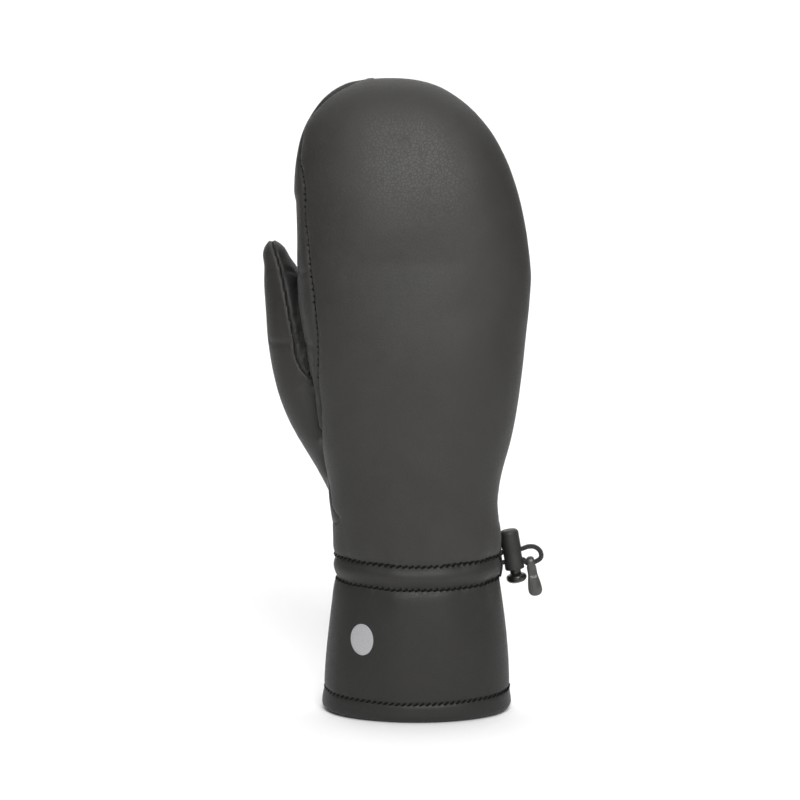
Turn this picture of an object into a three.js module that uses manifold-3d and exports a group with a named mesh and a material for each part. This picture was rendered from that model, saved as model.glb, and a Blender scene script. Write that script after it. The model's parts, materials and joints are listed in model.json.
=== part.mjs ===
// A right-hand ski mitten that stands on its cuff, fingers up, with the back of the hand towards -Y.
// Leather panels outside, then a waterproof insert, insulation and a fleece lining, and a wrist drawcord
// with a barrel cord lock and a pull tab. Lengths are in millimetres.
import * as THREE from 'three';
import { mergeVertices } from 'three/addons/utils/BufferGeometryUtils.js';
import Module from 'manifold-3d';

const wasm = await Module();
wasm.setup();

// ---------------------------------------------------------------- driving sizes

// Lengths stacked up the mitten, from the cuff's mouth to the fingertip.
const cuffLength = 58.5;
const casingLength = 11.5;
const wristLength = 18;
const heelLength = 42;
const palmLength = 69;
const fingerLength = 91;

// Half widths on the little finger side and the thumb side, and half depths behind and in front of the hand.
const section = {
  mouth: { right: 43.6, left: 43.8, back: 29.5, palm: 29.5 },
  cuff: { right: 41.2, left: 41.0, back: 28, palm: 28 },
  gather: { right: 38.4, left: 38.2, back: 26.4, palm: 26.8 },
  casing: { right: 36.1, left: 35.6, back: 24.3, palm: 24.8 },
  wrist: { right: 37.3, left: 38.6, back: 24.5, palm: 26 },
  heel: { right: 44.4, left: 46.4, back: 27, palm: 31 },
  palm: { right: 49.2, left: 51.6, back: 28, palm: 32 },
  knuckles: { right: 51.7, left: 54.4, back: 27, palm: 30 },
};
const tipLean = 10; // the fingertip leans this far to the thumb side
const tipCurl = 6; // and this far towards the palm

// The thumb's centre line from inside the heel of the hand to its tip, and its half width and half depth.
const thumbSpine = [
  [-22, 6, -40],
  [-36, 11, -12],
  [-46, 16, 13],
  [-54.5, 19.5, 45],
  [-60.5, 21.5, 71],
  [-63.5, 22, 86.5],
]; // x, y and the height above the heel level
const thumbWidth = { root: 13, ball: 17, middle: 14.8, end: 12 };
const thumbDepth = { root: 13, ball: 16.5, middle: 15, end: 12.4 };
const thumbDome = 15;

// Layers, each as its thickness, with a clearance between neighbours.
const gap = 0.3;
const leather = 1.4;
const insert = 0.5;
const handFill = 5;
const thumbFill = 2.1;
const lining = 1.5;
const thumbLining = 1.3;

const hemReturn = 10; // height of the leather turned up inside the cuff
const hemStitchHeight = 8.5;
const sideSeam = 3; // where the back and palm panels meet, in front of the middle
const gussetDepth = 14; // where the index gusset and the palm panel meet

const cordDiameter = 2.2;
const channelClearance = 0.4;
const casingWall = 0.8;
const channelHeight = 6.4;

// The cord lock, in its own frame: its axis is up, and the cord passes through it along x.
const lockLean = THREE.MathUtils.degToRad(10);
const lockPlace = { out: 8.2, depth: 10.5, rise: 8.45 }; // from the casing's middle
const barrelRadius = 4.5;
const barrelTop = 9;
const barrelBottom = -9.8;
const boreRadius = 3.3;
const barrelCrown = 1.4;
const stemRadius = boreRadius - gap;
const knobRadius = 4.8;
const knobHeight = 4.2;
const plungerTravel = 2;
const legs = { upper: -1, lower: -5.8 };
const springWire = 0.5;
const springTurns = 4;

// The pull tab hangs on the cord's loop.
const eye = { out: 7.7, up: -8.3 };
const tabLength = 15.8;
const tabEyeRadius = 2.5;
const tabEyeWidth = 3;
const tabNeckWidth = 4.1;
const tabEndWidth = 6.2;
const tabThickness = 2;

const keeperWidth = 8;
const keeperThickness = 1.1;
const threadRadius = 0.3;
const markWidth = 10;
const markHeight = 14;
const markThickness = 0.4;

// ---------------------------------------------------------------- levels

const level = { mouth: 0 };
level.casingBottom = cuffLength;
level.casingTop = level.casingBottom + casingLength;
level.casing = (level.casingBottom + level.casingTop) / 2;
level.cuff = cuffLength / 2;
level.gather = cuffLength - 9;
level.wrist = level.casingTop + wristLength;
level.heel = level.wrist + heelLength;
level.palm = level.heel + palmLength / 2;
level.knuckles = level.heel + palmLength;
level.tip = level.knuckles + fingerLength;
level.shoulder = level.knuckles + 0.41 * fingerLength; // the thumb side stays straight up to here

const around = 24;
const thumbAround = 14;

// ---------------------------------------------------------------- small helpers

// A smooth curve through points [position, value], flat beyond both ends.
function profile(points) {
  const slope = points.map((p, i) => {
    const a = points[Math.max(i - 1, 0)];
    const b = points[Math.min(i + 1, points.length - 1)];
    return i === 0 || i === points.length - 1 ? 0 : (b[1] - a[1]) / (b[0] - a[0]);
  });
  return (x) => {
    if (x <= points[0][0]) return points[0][1];
    const i = points.findIndex((p) => x < p[0]) - 1;
    if (i < 0) return points[points.length - 1][1];
    const [x0, y0] = points[i];
    const [x1, y1] = points[i + 1];
    const h = x1 - x0;
    const t = (x - x0) / h;
    const rise = y1 - y0;
    const bend = h * (slope[i] + slope[i + 1]) - 2 * rise;
    return y0 + t * (h * slope[i] + t * (rise - h * slope[i] - bend + t * bend));
  };
}

// The height of a superellipse of unit size at x.
const dome = (x, power) => Math.pow(Math.max(0, 1 - Math.pow(x, power)), 1 / power);

function toSolid(geometry) {
  const bare = geometry.clone();
  bare.deleteAttribute('normal');
  bare.deleteAttribute('uv');
  const merged = mergeVertices(bare, 1e-4);
  const solid = new wasm.Manifold(
    new wasm.Mesh({
      numProp: 3,
      vertProperties: new Float32Array(merged.attributes.position.array),
      triVerts: new Uint32Array(merged.index.array),
    }),
  );
  if (solid.volume() > 0) return solid;
  const turned = merged.index.array.slice();
  for (let i = 0; i < turned.length; i += 3) [turned[i + 1], turned[i + 2]] = [turned[i + 2], turned[i + 1]];
  return toSolid(merged.setIndex(new THREE.BufferAttribute(turned, 1)));
}

function toGeometry(solid) {
  const mesh = solid.getMesh();
  const geometry = new THREE.BufferGeometry();
  geometry.setAttribute('position', new THREE.BufferAttribute(mesh.vertProperties, 3));
  geometry.setIndex(new THREE.BufferAttribute(mesh.triVerts, 1));
  geometry.computeVertexNormals();
  return geometry;
}

// A closed skin over rings of points that run anticlockwise seen from the far end, with a point at each end.
function loft(rings, first, last) {
  const n = rings[0].length;
  const points = [...rings.flat(), first, last];
  const index = [];
  for (let i = 0; i + 1 < rings.length; i++) {
    for (let j = 0; j < n; j++) {
      const k = (j + 1) % n;
      const [a, b, c, d] = [i * n + j, i * n + k, (i + 1) * n + k, (i + 1) * n + j];
      index.push(a, b, c, a, c, d);
    }
  }
  const top = (rings.length - 1) * n;
  for (let j = 0; j < n; j++) {
    const k = (j + 1) % n;
    index.push(points.length - 2, k, j, points.length - 1, top + j, top + k);
  }
  return toSolid(new THREE.BufferGeometry().setFromPoints(points).setIndex(index));
}

// A block between two corners, and an outline in x and z that runs from y0 to y1.
function block(x0, y0, z0, x1, y1, z1) {
  const geometry = new THREE.BoxGeometry(x1 - x0, y1 - y0, z1 - z0);
  return toSolid(geometry.translate((x0 + x1) / 2, (y0 + y1) / 2, (z0 + z1) / 2));
}

function slab(z0, z1) {
  return block(-200, -100, z0, 200, 100, z1);
}

function sheet(outline, y0, y1) {
  const shape = new THREE.Shape(outline.map(([x, z]) => new THREE.Vector2(x, z)));
  const geometry = new THREE.ExtrudeGeometry(shape, { depth: y1 - y0, bevelEnabled: false });
  return toSolid(geometry.rotateX(Math.PI / 2).translate(0, y1, 0));
}

function tube(points, radius, sides, steps, closed = false) {
  const shape = new THREE.Shape();
  for (let i = 0; i < sides; i++) {
    const a = (2 * Math.PI * i) / sides;
    const [x, y] = [radius * Math.cos(a), radius * Math.sin(a)];
    if (i) shape.lineTo(x, y);
    else shape.moveTo(x, y);
  }
  shape.closePath();
  const extrudePath = new THREE.CatmullRomCurve3(points, closed);
  return toSolid(new THREE.ExtrudeGeometry(shape, { extrudePath, steps, bevelEnabled: false }));
}

// ---------------------------------------------------------------- the hand's form

const spineX = profile([[level.wrist, 0], [level.heel, -tipLean / 4], [level.knuckles, -tipLean]]);
const spineY = profile([[level.palm, 0], [level.shoulder, tipCurl / 2], [level.tip, tipCurl]]);
const squareness = profile([[level.mouth, 2], [level.casing, 2.1], [level.palm, 2.45], [level.tip, 2.3]]);

// One side of the hand: its outline up to a shoulder, and a dome from there to the tip.
function side(name, sign, shoulder, power) {
  const outline = profile(
    Object.keys(section).map((k) => [level[k], sign * section[k][name]]),
  );
  const spine = name === 'left' || name === 'right' ? spineX : () => 0;
  const full = sign * (outline(shoulder) - spine(shoulder));
  const keep = (z) => (z < shoulder ? 1 : dome((z - shoulder) / (level.tip - shoulder), power));
  const reach = (z) => (z < shoulder ? sign * (outline(z) - spine(z)) : full * keep(z));
  return (z, inset) => reach(z) - inset * keep(z);
}

const reach = {
  right: side('right', 1, level.knuckles, 2.1),
  left: side('left', -1, level.shoulder, 2.6),
  back: side('back', -1, level.knuckles + 6, 2.2),
  palm: side('palm', 1, level.knuckles + 6, 2.2),
};

// Above the knuckles an inset skin also stops short of the tip.
function lowered(z, inset) {
  const above = Math.max(0, z - level.knuckles);
  return z - (above * inset) / fingerLength;
}

function handPoint(z, angle, inset) {
  const [c, s] = [Math.cos(angle), Math.sin(angle)];
  const power = 2 / squareness(z);
  const x = Math.sign(c) * Math.pow(Math.abs(c), power) * (c > 0 ? reach.right : reach.left)(z, inset);
  const y = Math.sign(s) * Math.pow(Math.abs(s), power) * (s > 0 ? reach.palm : reach.back)(z, inset);
  return new THREE.Vector3(spineX(z) + x, spineY(z) + y, lowered(z, inset));
}

const ring = (z, inset) =>
  Array.from({ length: around }, (_, j) => handPoint(z, (2 * Math.PI * j) / around, inset));

const domeLevels = [0, 18, 36, 52, 67, 80].map(
  (a) => level.knuckles + fingerLength * Math.sin(THREE.MathUtils.degToRad(a)),
);
const handLevels = [
  level.mouth,
  hemStitchHeight,
  level.cuff,
  level.gather,
  level.casingBottom,
  level.casing,
  level.casingTop,
  level.casingTop + 8,
  level.wrist,
  level.wrist + heelLength / 2,
  level.heel,
  level.palm,
  ...domeLevels,
];

function hand(inset, from = level.mouth) {
  const rings = handLevels.map((z) => ring(z, inset));
  if (from !== level.mouth) rings.unshift(ring(level.mouth, inset).map((p) => p.setZ(from)));
  const low = new THREE.Vector3(0, 0, from);
  const high = new THREE.Vector3(spineX(level.tip), spineY(level.tip), level.tip - inset);
  return loft(rings, low, high);
}

// ---------------------------------------------------------------- the thumb's form

const thumbCurve = new THREE.CatmullRomCurve3(
  thumbSpine.map(([x, y, z]) => new THREE.Vector3(x, y, level.heel + z)),
);
const thumbLength = thumbCurve.getLength();
const thumbStops = { root: 0, ball: 0.3, middle: 0.62, end: 1 - thumbDome / thumbLength };
const thumbProfile = (size) => profile(Object.keys(size).map((k) => [thumbStops[k], size[k]]));
const thumbHalfWidth = thumbProfile(thumbWidth);
const thumbHalfDepth = thumbProfile(thumbDepth);
const thumbSteps = [0, 0.2, 0.4, 0.6];
const thumbDomeSteps = [0, 30, 54, 76].map(
  (a) => thumbStops.end + (1 - thumbStops.end) * Math.sin(THREE.MathUtils.degToRad(a)),
);

const pastEnd = (t) => Math.max(0, t - thumbStops.end) / (1 - thumbStops.end);

function thumb(inset) {
  const spot = (t) =>
    thumbCurve.getPointAt(t).addScaledVector(thumbCurve.getTangentAt(t), -inset * pastEnd(t));
  const rings = [...thumbSteps, ...thumbDomeSteps].map((t) => {
    const keep = dome(pastEnd(t), 2.2);
    const along = thumbCurve.getTangentAt(t);
    const wide = new THREE.Vector3(0, 1, 0).cross(along).normalize();
    const deep = along.clone().cross(wide);
    const width = (thumbHalfWidth(t) - inset) * keep;
    const depth = (thumbHalfDepth(t) - inset) * keep;
    return Array.from({ length: thumbAround }, (_, j) => {
      const a = (2 * Math.PI * j) / thumbAround;
      return spot(t)
        .addScaledVector(wide, width * Math.cos(a))
        .addScaledVector(deep, depth * Math.sin(a));
    });
  });
  return loft(rings, spot(0), spot(1));
}

// Both together, with the hand and the thumb inset by their own amounts.
const body = (inHand, inThumb, from) => hand(inHand, from).add(thumb(inThumb));
const below = -20; // an inner form reaches this far below the mouth, so that what it cuts is open there
const layer = (outer, inner) => body(outer.hand, outer.thumb).subtract(body(inner.hand, inner.thumb, below));
const both = (value) => ({ hand: value, thumb: value });

const skin = {
  outside: both(0),
  leather: both(leather),
  insertOut: both(leather + gap),
  insertIn: both(leather + gap + insert),
  fillOut: both(leather + insert + 2 * gap),
};
skin.fillIn = { hand: skin.fillOut.hand + handFill, thumb: skin.fillOut.thumb + thumbFill };
skin.liningOut = { hand: skin.fillIn.hand + gap, thumb: skin.fillIn.thumb + gap };
skin.liningIn = { hand: skin.liningOut.hand + lining, thumb: skin.liningOut.thumb + thumbLining };

// ---------------------------------------------------------------- leather panels

// Each panel is the part of the shell in its own region. A region can be grown by the gap between panels,
// and a later panel leaves out the grown regions of the ones before it.
const far = 150;
const high = level.tip + 30;
const shell = layer(skin.outside, skin.leather);
const handShell = shell.intersect(slab(level.casingTop + gap, high));

const leftEdge = (z) => spineX(z) - reach.left(z, 0);
const seamInset = profile([
  [level.wrist, 0.6],
  [level.heel, 3],
  [level.palm, 6.2],
  [level.knuckles, 6.2],
  [level.shoulder, 3],
  [level.tip, 6],
]);

// The back panel's seam on the thumb side, from the wrist to over the fingertip, and what lies beside it.
function besideBackSeam(toThumb, grow) {
  const shift = toThumb ? grow : -grow;
  const seam = Array.from({ length: 13 }, (_, i) => {
    const z = level.wrist + ((level.tip - 4 - level.wrist) * i) / 12;
    return [leftEdge(z) + seamInset(z) + shift, z];
  });
  const top = spineX(level.tip) - 4 + shift;
  const edge = toThumb ? -far : far;
  return [...seam, [top, level.tip + 10], [top, high], [edge, high], [edge, level.wrist]];
}

function backRegion(grow) {
  const above = sheet(besideBackSeam(false, grow), -far, sideSeam + grow);
  return above.add(block(-far, -far, level.casingTop, far, -2 + grow, level.wrist + grow));
}

// The thumb's region: the thumb itself, the strip below its crotch, and its ball on the palm.
function thumbRegion(grow) {
  const crotch = [
    [-far, level.heel + 34 + grow],
    [leftEdge(level.heel + 34) - 3, level.heel + 34 + grow],
    [leftEdge(level.heel + 24) + 0.5, level.heel + 24 + grow],
    [leftEdge(level.heel + 8) + 2, level.heel + 8 + grow],
    [leftEdge(level.heel) + 4, level.heel - 4 + grow],
    [0, level.heel - 12 + grow],
    [0, level.wrist],
    [-far, level.wrist],
  ];
  const ball = [
    [-far, level.wrist],
    [-24 + grow, level.wrist],
    [-17 + grow, level.heel - 20],
    [-20 + grow, level.heel + 8],
    [-34 + grow, level.heel + 26 + grow],
    [-46 + grow, level.heel + 34 + grow],
    [-far, level.heel + 34 + grow],
  ];
  return sheet(besideBackSeam(true, grow), -far, gussetDepth)
    .intersect(sheet(crotch, -far, gussetDepth))
    .add(sheet(ball, gussetDepth - 1, far))
    .add(thumb(-1 - grow).subtract(hand(grow)));
}

// An outline in y and z that runs all the way across in x.
const across = (outline) => sheet(outline, -far, far).rotate([0, 0, 90]);

function gussetRegion(grow) {
  const side = [[gussetDepth, level.wrist], [gussetDepth, level.knuckles], [sideSeam + 5, level.tip]];
  const outline = [...side.map(([y, z]) => [y + grow, z]), [-far, level.tip], [-far, level.wrist]];
  return sheet(besideBackSeam(true, grow), -far, far).intersect(across(outline));
}

// The thumb's outer panel: beside its seam as seen from behind the hand, and in front of it as seen from the side.
function outerThumbRegion(grow) {
  const seam = [
    [-34 + grow, level.wrist],
    [-41 + grow, level.heel - 5],
    [-50.7 + grow, level.heel + 25],
    [-57.3 + grow, level.heel + 46],
    [-61.5 + grow, level.heel + 68],
    [-66 + grow, level.heel + 92],
  ];
  const side = [[15, level.wrist - 1], [17, level.heel], [24, level.heel + 30], [27, level.heel + 92]];
  const outline = [...side.map(([y, z]) => [y + grow, z]), [-far, level.heel + 92], [-far, level.wrist - 1]];
  const front = sheet([...seam, [-far, level.heel + 92], [-far, level.wrist]], -far, far);
  return front.intersect(across(outline));
}

function panels() {
  const back = handShell.intersect(backRegion(0));
  const aboveWrist = handShell.intersect(slab(level.wrist + gap, high)).subtract(backRegion(gap));
  const thumbPart = aboveWrist.intersect(thumbRegion(0));
  const handPart = aboveWrist.subtract(thumbRegion(gap));
  return {
    back,
    gusset: handPart.intersect(gussetRegion(0)),
    palm: handPart.subtract(gussetRegion(gap)),
    wrist: handShell.subtract(slab(level.wrist, high)).subtract(backRegion(gap)),
    thumbOuter: thumbPart.intersect(outerThumbRegion(0)),
    thumbInner: thumbPart.subtract(outerThumbRegion(gap)),
  };
}

// The largest body of a cut solid, without the slivers that a cut leaves.
const biggest = (solid) =>
  solid.simplify(0.09).decompose().reduce((a, b) => (b.volume() > a.volume() ? b : a));

// ---------------------------------------------------------------- cuff, casing and hardware

const channel = { out: -(casingWall + 2 * channelClearance + cordDiameter - leather) };
channel.in = channel.out + cordDiameter + 2 * channelClearance;
const casingOut = channel.out - casingWall;
const cordInset = (channel.out + channel.in) / 2;

const lockMiddle = new THREE.Vector3(
  section.casing.right + lockPlace.out,
  lockPlace.depth,
  level.casing + lockPlace.rise,
);
const lockGroup = new THREE.Group();
lockGroup.position.copy(lockMiddle);
lockGroup.rotation.y = -lockLean;
lockGroup.updateMatrixWorld();
const fromLock = (x, y, z) => new THREE.Vector3(x, y, z).applyMatrix4(lockGroup.matrixWorld);

// A ring that follows the hand's form between two heights, with its own inset at each height.
function band(z0, z1, steps, outer, inner) {
  const rings = (inset, low, high) =>
    Array.from({ length: steps + 1 }, (_, i) => {
      const z = low + ((high - low) * i) / steps;
      return ring(z, inset((z - z0) / (z1 - z0)));
    });
  const made = (inset, low, high) => {
    const all = rings(inset, low, high);
    return loft(all, new THREE.Vector3(0, 0, low), new THREE.Vector3(0, 0, high));
  };
  return made(outer, z0, z1).subtract(made(inner, z0 - 1, z1 + 1));
}

function cuff() {
  const wall = shell.intersect(slab(level.mouth, level.casingBottom - gap));
  const returnWall = hand(skin.liningOut.hand)
    .subtract(hand(skin.liningIn.hand, below))
    .intersect(slab(level.mouth, hemReturn));
  const floor = hand(0).subtract(hand(skin.liningIn.hand, below)).intersect(slab(level.mouth, leather));
  return wall.add(returnWall).add(floor);
}

function casing() {
  const bulge = (t) => casingOut * Math.pow(Math.max(0, Math.sin(Math.PI * Math.min(Math.max(t, 0), 1))), 0.45);
  const whole = band(level.casingBottom, level.casingTop, 8, bulge, () => leather);
  const hollow = band(
    level.casing - channelHeight / 2,
    level.casing + channelHeight / 2,
    2,
    () => channel.out,
    () => channel.in,
  );
  const slot = block(
    section.casing.right - 6,
    lockPlace.depth - 4.5,
    level.casing - channelHeight / 2,
    section.casing.right + 8,
    lockPlace.depth + 4.5,
    level.casing + channelHeight / 2,
  ).subtract(hand(channel.in));
  return whole.subtract(hollow).subtract(slot);
}

// Where the drawcord runs in its channel, at an angle round the wrist.
const exitAngle = Math.asin(lockPlace.depth / section.casing.palm);
const cordPoint = (angle, lift) => {
  const p = handPoint(level.casing, angle, cordInset);
  return p.setZ(level.casing + lift);
};
const cordLift = 1.5; // one end of the ring lies above the other where they leave
const exitSpread = 0.22;

function drawcordRing() {
  const from = exitAngle + exitSpread;
  const to = exitAngle - exitSpread + 2 * Math.PI;
  const points = Array.from({ length: 29 }, (_, i) => {
    const t = i / 28;
    return cordPoint(from + (to - from) * t, cordLift * (2 * t - 1));
  });
  return tube(points, cordDiameter / 2, 6, 44);
}

// The free part: out of the casing, through the lock, round the loop and back, as points in the lock's frame.
const loopPath = [
  [-8.4, 0, -4.9], [-6.6, 0, -2.5], [-4.6, 0, legs.upper - 0.1], [0, 0, legs.upper], [4.6, 0, legs.upper],
  [8, 0, -0.5], [11, 0, -1.3], [13, 0, -3.7], [12.8, 0, -6.6], [eye.out + 2.2, 0, eye.up + 0.2],
  [eye.out, 0, eye.up], [eye.out - 1.8, 0, eye.up + 0.3], [4.6, 0, legs.lower - 0.4], [0, 0, legs.lower],
  [-4.6, 0, legs.lower], [-6.8, 0, -6.4], [-8.6, 0, -8],
];

function drawcordLoop() {
  const points = loopPath.map(([x, y, z]) => fromLock(x, y, z));
  return tube(points, cordDiameter / 2, 6, 44);
}

const lathe = (outline, sides) =>
  toSolid(new THREE.LatheGeometry(outline.map(([r, z]) => new THREE.Vector2(r, z)), sides).rotateX(Math.PI / 2));

// A slot with round ends through a round body, along x.
function cordWindow(low, high, width) {
  const r = width / 2;
  const shape = new THREE.Shape();
  shape.absarc(0, high - r, r, 0, Math.PI);
  shape.absarc(0, low + r, r, Math.PI, 2 * Math.PI);
  const depth = 4 * barrelRadius;
  const geometry = new THREE.ExtrudeGeometry(shape, { depth, bevelEnabled: false, curveSegments: 5 });
  return toSolid(geometry.translate(0, 0, -depth / 2).rotateX(Math.PI / 2).rotateZ(Math.PI / 2));
}

const cordRadius = cordDiameter / 2;
const slotWidth = cordDiameter + 2 * gap;
const slotTop = legs.upper + cordRadius + gap;
const slotBottom = legs.lower - cordRadius - gap;

function barrel() {
  const crown = [0, 30, 60, 90].map((a) => {
    const angle = THREE.MathUtils.degToRad(a);
    return [
      barrelRadius - barrelCrown + barrelCrown * Math.cos(angle),
      barrelTop - barrelCrown + barrelCrown * Math.sin(angle),
    ];
  });
  const outline = [
    [boreRadius, barrelBottom],
    [barrelRadius - 0.4, barrelBottom],
    [barrelRadius, barrelBottom + 0.5],
    ...crown,
    [0, barrelTop],
    [0, barrelTop - barrelCrown],
    [boreRadius, barrelTop - barrelCrown],
    [boreRadius, barrelBottom],
  ];
  return lathe(outline, 22).subtract(cordWindow(slotBottom - 0.4, slotTop + 0.4, slotWidth + 0.4));
}

const stemTop = slotTop + 1.5;

function plunger() {
  const neck = barrelBottom - plungerTravel - 0.3;
  const outline = [
    [0, neck - knobHeight],
    [2.6, neck - knobHeight + 0.2],
    [knobRadius - 0.5, neck - knobHeight + 1.5],
    [knobRadius, neck - knobHeight + 2.3],
    [knobRadius - 0.3, neck - knobHeight + 2.9],
    [stemRadius + 0.2, neck],
    [stemRadius - 0.4, neck + 0.4],
    [stemRadius - 0.4, neck + 1.5],
    [stemRadius, barrelBottom + 0.4],
    [stemRadius, stemTop],
    [0, stemTop],
  ];
  return lathe(outline, 20).subtract(cordWindow(slotBottom - plungerTravel, slotTop, slotWidth));
}

function spring() {
  const low = stemTop + gap + springWire / 2;
  const end = barrelTop - barrelCrown - gap - springWire / 2;
  const radius = boreRadius - gap - springWire / 2 - 0.3;
  const stops = springTurns * 9;
  const points = Array.from({ length: stops + 1 }, (_, i) => {
    const a = (2 * Math.PI * i) / 9;
    const up = low + ((end - low) * i) / stops;
    return new THREE.Vector3(radius * Math.cos(a), radius * Math.sin(a), up);
  });
  return tube(points, springWire / 2, 5, stops);
}

function pullTab() {
  const front = new THREE.Shape();
  const end = -tabLength;
  const r = tabEndWidth / 2;
  front.moveTo(-tabEyeWidth / 2, tabEyeRadius + 1);
  front.lineTo(-tabNeckWidth / 2, -6);
  front.lineTo(-r, end + r);
  front.absarc(0, end + r, r, Math.PI, 2 * Math.PI);
  front.lineTo(tabNeckWidth / 2, -6);
  front.lineTo(tabEyeWidth / 2, tabEyeRadius + 1);
  const profileShape = new THREE.Shape();
  const t = tabThickness / 2;
  profileShape.moveTo(t, -4.5);
  profileShape.absarc(0, 0, tabEyeRadius, -0.4, Math.PI + 0.4);
  profileShape.lineTo(-t, -4.5);
  profileShape.lineTo(-t, -tabLength - 1);
  profileShape.lineTo(t, -tabLength - 1);
  const hole = new THREE.Path();
  hole.absarc(0, 0, cordRadius + 2 * gap, 0, 2 * Math.PI, true);
  profileShape.holes.push(hole);
  const flat = toSolid(
    new THREE.ExtrudeGeometry(front, { depth: 12, bevelEnabled: false, curveSegments: 10 })
      .translate(0, 0, -6)
      .rotateX(Math.PI / 2),
  );
  const edge = toSolid(
    new THREE.ExtrudeGeometry(profileShape, { depth: 12, bevelEnabled: false, curveSegments: 14 })
      .translate(0, 0, -6)
      .rotateX(Math.PI / 2)
      .rotateZ(Math.PI / 2),
  );
  return flat.intersect(edge);
}

// A strap from the wrist seam down behind the lock, with an eyelet for the two legs of the cord.
function keeper() {
  const near = lockPlace.depth - keeperWidth / 2;
  const surface = (z) => spineX(z) + reach.right(z, 0) * dome(near / reach.palm(z, 0), squareness(z));
  const clear = gap + 0.2;
  const overBand = clear - casingOut;
  const line = [
    [level.wrist, clear],
    [level.casingTop + 6, clear + 0.3],
    [level.casingTop + 1, overBand - 0.4],
    [level.casing + 3, overBand],
    [level.casing - 3, overBand],
    [level.casingBottom + 1.5, overBand - 0.4],
  ].map(([z, out]) => [surface(z) + out, z]);
  const outer = line.map(([x, z]) => [x + keeperThickness, z]).reverse();
  const strap = sheet([...line, ...outer], near, near + keeperWidth);
  const hole = block(0, lockPlace.depth - 2, level.casing - 5, far, lockPlace.depth + 2, level.casing + 8);
  return strap.subtract(hole);
}

// A row of thread that lies on the leather at a height.
function threadRow(z, inset) {
  const points = Array.from({ length: around }, (_, j) =>
    handPoint(z, (2 * Math.PI * j) / around, inset),
  );
  const place = (p, r, lift) => {
    const out = new THREE.Vector2(p.x, p.y).normalize();
    return new THREE.Vector3(p.x + out.x * r, p.y + out.y * r, p.z + lift);
  };
  const loop = (r, lift) => points.map((p) => place(p, r, lift));
  const section4 = [loop(0, -threadRadius), loop(2 * threadRadius, -threadRadius), loop(2 * threadRadius, threadRadius), loop(0, threadRadius)];
  const all = section4.flat();
  const index = [];
  for (let i = 0; i < 4; i++) {
    for (let j = 0; j < around; j++) {
      const [a, b] = [i * around + j, i * around + ((j + 1) % around)];
      const [c, d] = [((i + 1) % 4) * around + j, ((i + 1) % 4) * around + ((j + 1) % around)];
      index.push(a, b, d, a, d, c);
    }
  }
  return toSolid(new THREE.BufferGeometry().setFromPoints(all).setIndex(index));
}

// A small reflective oval that follows the cuff.
function reflectiveMark() {
  const z = 37;
  const shape = new THREE.Shape();
  shape.absellipse(-24.5, z, markWidth / 2, markHeight / 2, 0, 2 * Math.PI);
  const outline = shape.getPoints(14).slice(0, -1).map((p) => [p.x, p.y]);
  return hand(-gap - markThickness).subtract(hand(-gap)).intersect(sheet(outline, -far, 0));
}

// ---------------------------------------------------------------- materials and assembly

const finish = {
  shell_leather: { color: 0x3c3b39, roughness: 0.55, metalness: 0 },
  side_leather: { color: 0x3a3937, roughness: 0.55, metalness: 0 },
  membrane: { color: 0xd8dde0, roughness: 0.4, metalness: 0 },
  insulation: { color: 0xe9e6df, roughness: 0.95, metalness: 0 },
  fleece: { color: 0x2a2a2c, roughness: 1, metalness: 0 },
  thread: { color: 0x111111, roughness: 0.6, metalness: 0 },
  elastic_cord: { color: 0x232321, roughness: 0.75, metalness: 0 },
  lock_plastic: { color: 0x262624, roughness: 0.6, metalness: 0 },
  knob_plastic: { color: 0x1d1b19, roughness: 0.35, metalness: 0 },
  spring_steel: { color: 0xb9bcc0, roughness: 0.3, metalness: 1 },
  tab_rubber: { color: 0x3b3b39, roughness: 0.5, metalness: 0 },
  strap_leather: { color: 0x2c2b29, roughness: 0.8, metalness: 0 },
  reflective_film: { color: 0xc6c4c6, roughness: 0.35, metalness: 0.3 },
};
const materials = Object.fromEntries(
  Object.entries(finish).map(([name, look]) => [name, new THREE.MeshStandardMaterial({ name, ...look })]),
);

const mitten = new THREE.Group();
const cordPieces = ['drawcord_loop', 'pull_tab'];

function addPiece(name, material, solid, parent = mitten) {
  const mesh = new THREE.Mesh(toGeometry(biggest(solid)), materials[material]);
  mesh.name = name;
  parent.add(mesh);
  return mesh;
}

const made = panels();
addPiece('back_panel', 'shell_leather', made.back);
addPiece('index_side_gusset', 'side_leather', made.gusset);
addPiece('palm_panel', 'shell_leather', made.palm);
addPiece('palm_wrist_panel', 'side_leather', made.wrist);
addPiece('thumb_outer_panel', 'side_leather', made.thumbOuter);
addPiece('thumb_inner_panel', 'side_leather', made.thumbInner);
addPiece('drawcord_casing', 'shell_leather', casing());
addPiece('cuff_panel', 'shell_leather', cuff());

const insertLayer = layer(skin.insertOut, skin.insertIn).intersect(slab(leather + gap, high));
addPiece('waterproof_insert', 'membrane', insertLayer);

const fill = layer(skin.fillOut, skin.fillIn).intersect(slab(leather + gap, high));
const thumbFillRegion = thumb(0)
  .subtract(hand(skin.fillIn.hand))
  .subtract(hand(0))
  .intersect(slab(level.wrist, high));
const handFillWhole = fill.intersect(slab(level.casingTop + gap, high)).subtract(thumb(-gap).subtract(hand(gap)));
addPiece('thumb_insulation', 'insulation', fill.intersect(thumbFillRegion));
addPiece('back_insulation', 'insulation', handFillWhole.intersect(block(-far, -far, 0, far, sideSeam, high)));
addPiece('palm_insulation', 'insulation', handFillWhole.intersect(block(-far, sideSeam + gap, 0, far, far, high)));
addPiece('cuff_insulation', 'insulation', fill.intersect(slab(0, level.casingTop)));

const liningLayer = layer(skin.liningOut, skin.liningIn);
addPiece('hand_lining', 'fleece', liningLayer.intersect(slab(level.casingTop + gap, high)));
addPiece('cuff_lining', 'fleece', liningLayer.intersect(slab(hemReturn + gap, level.casingTop)));

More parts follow.
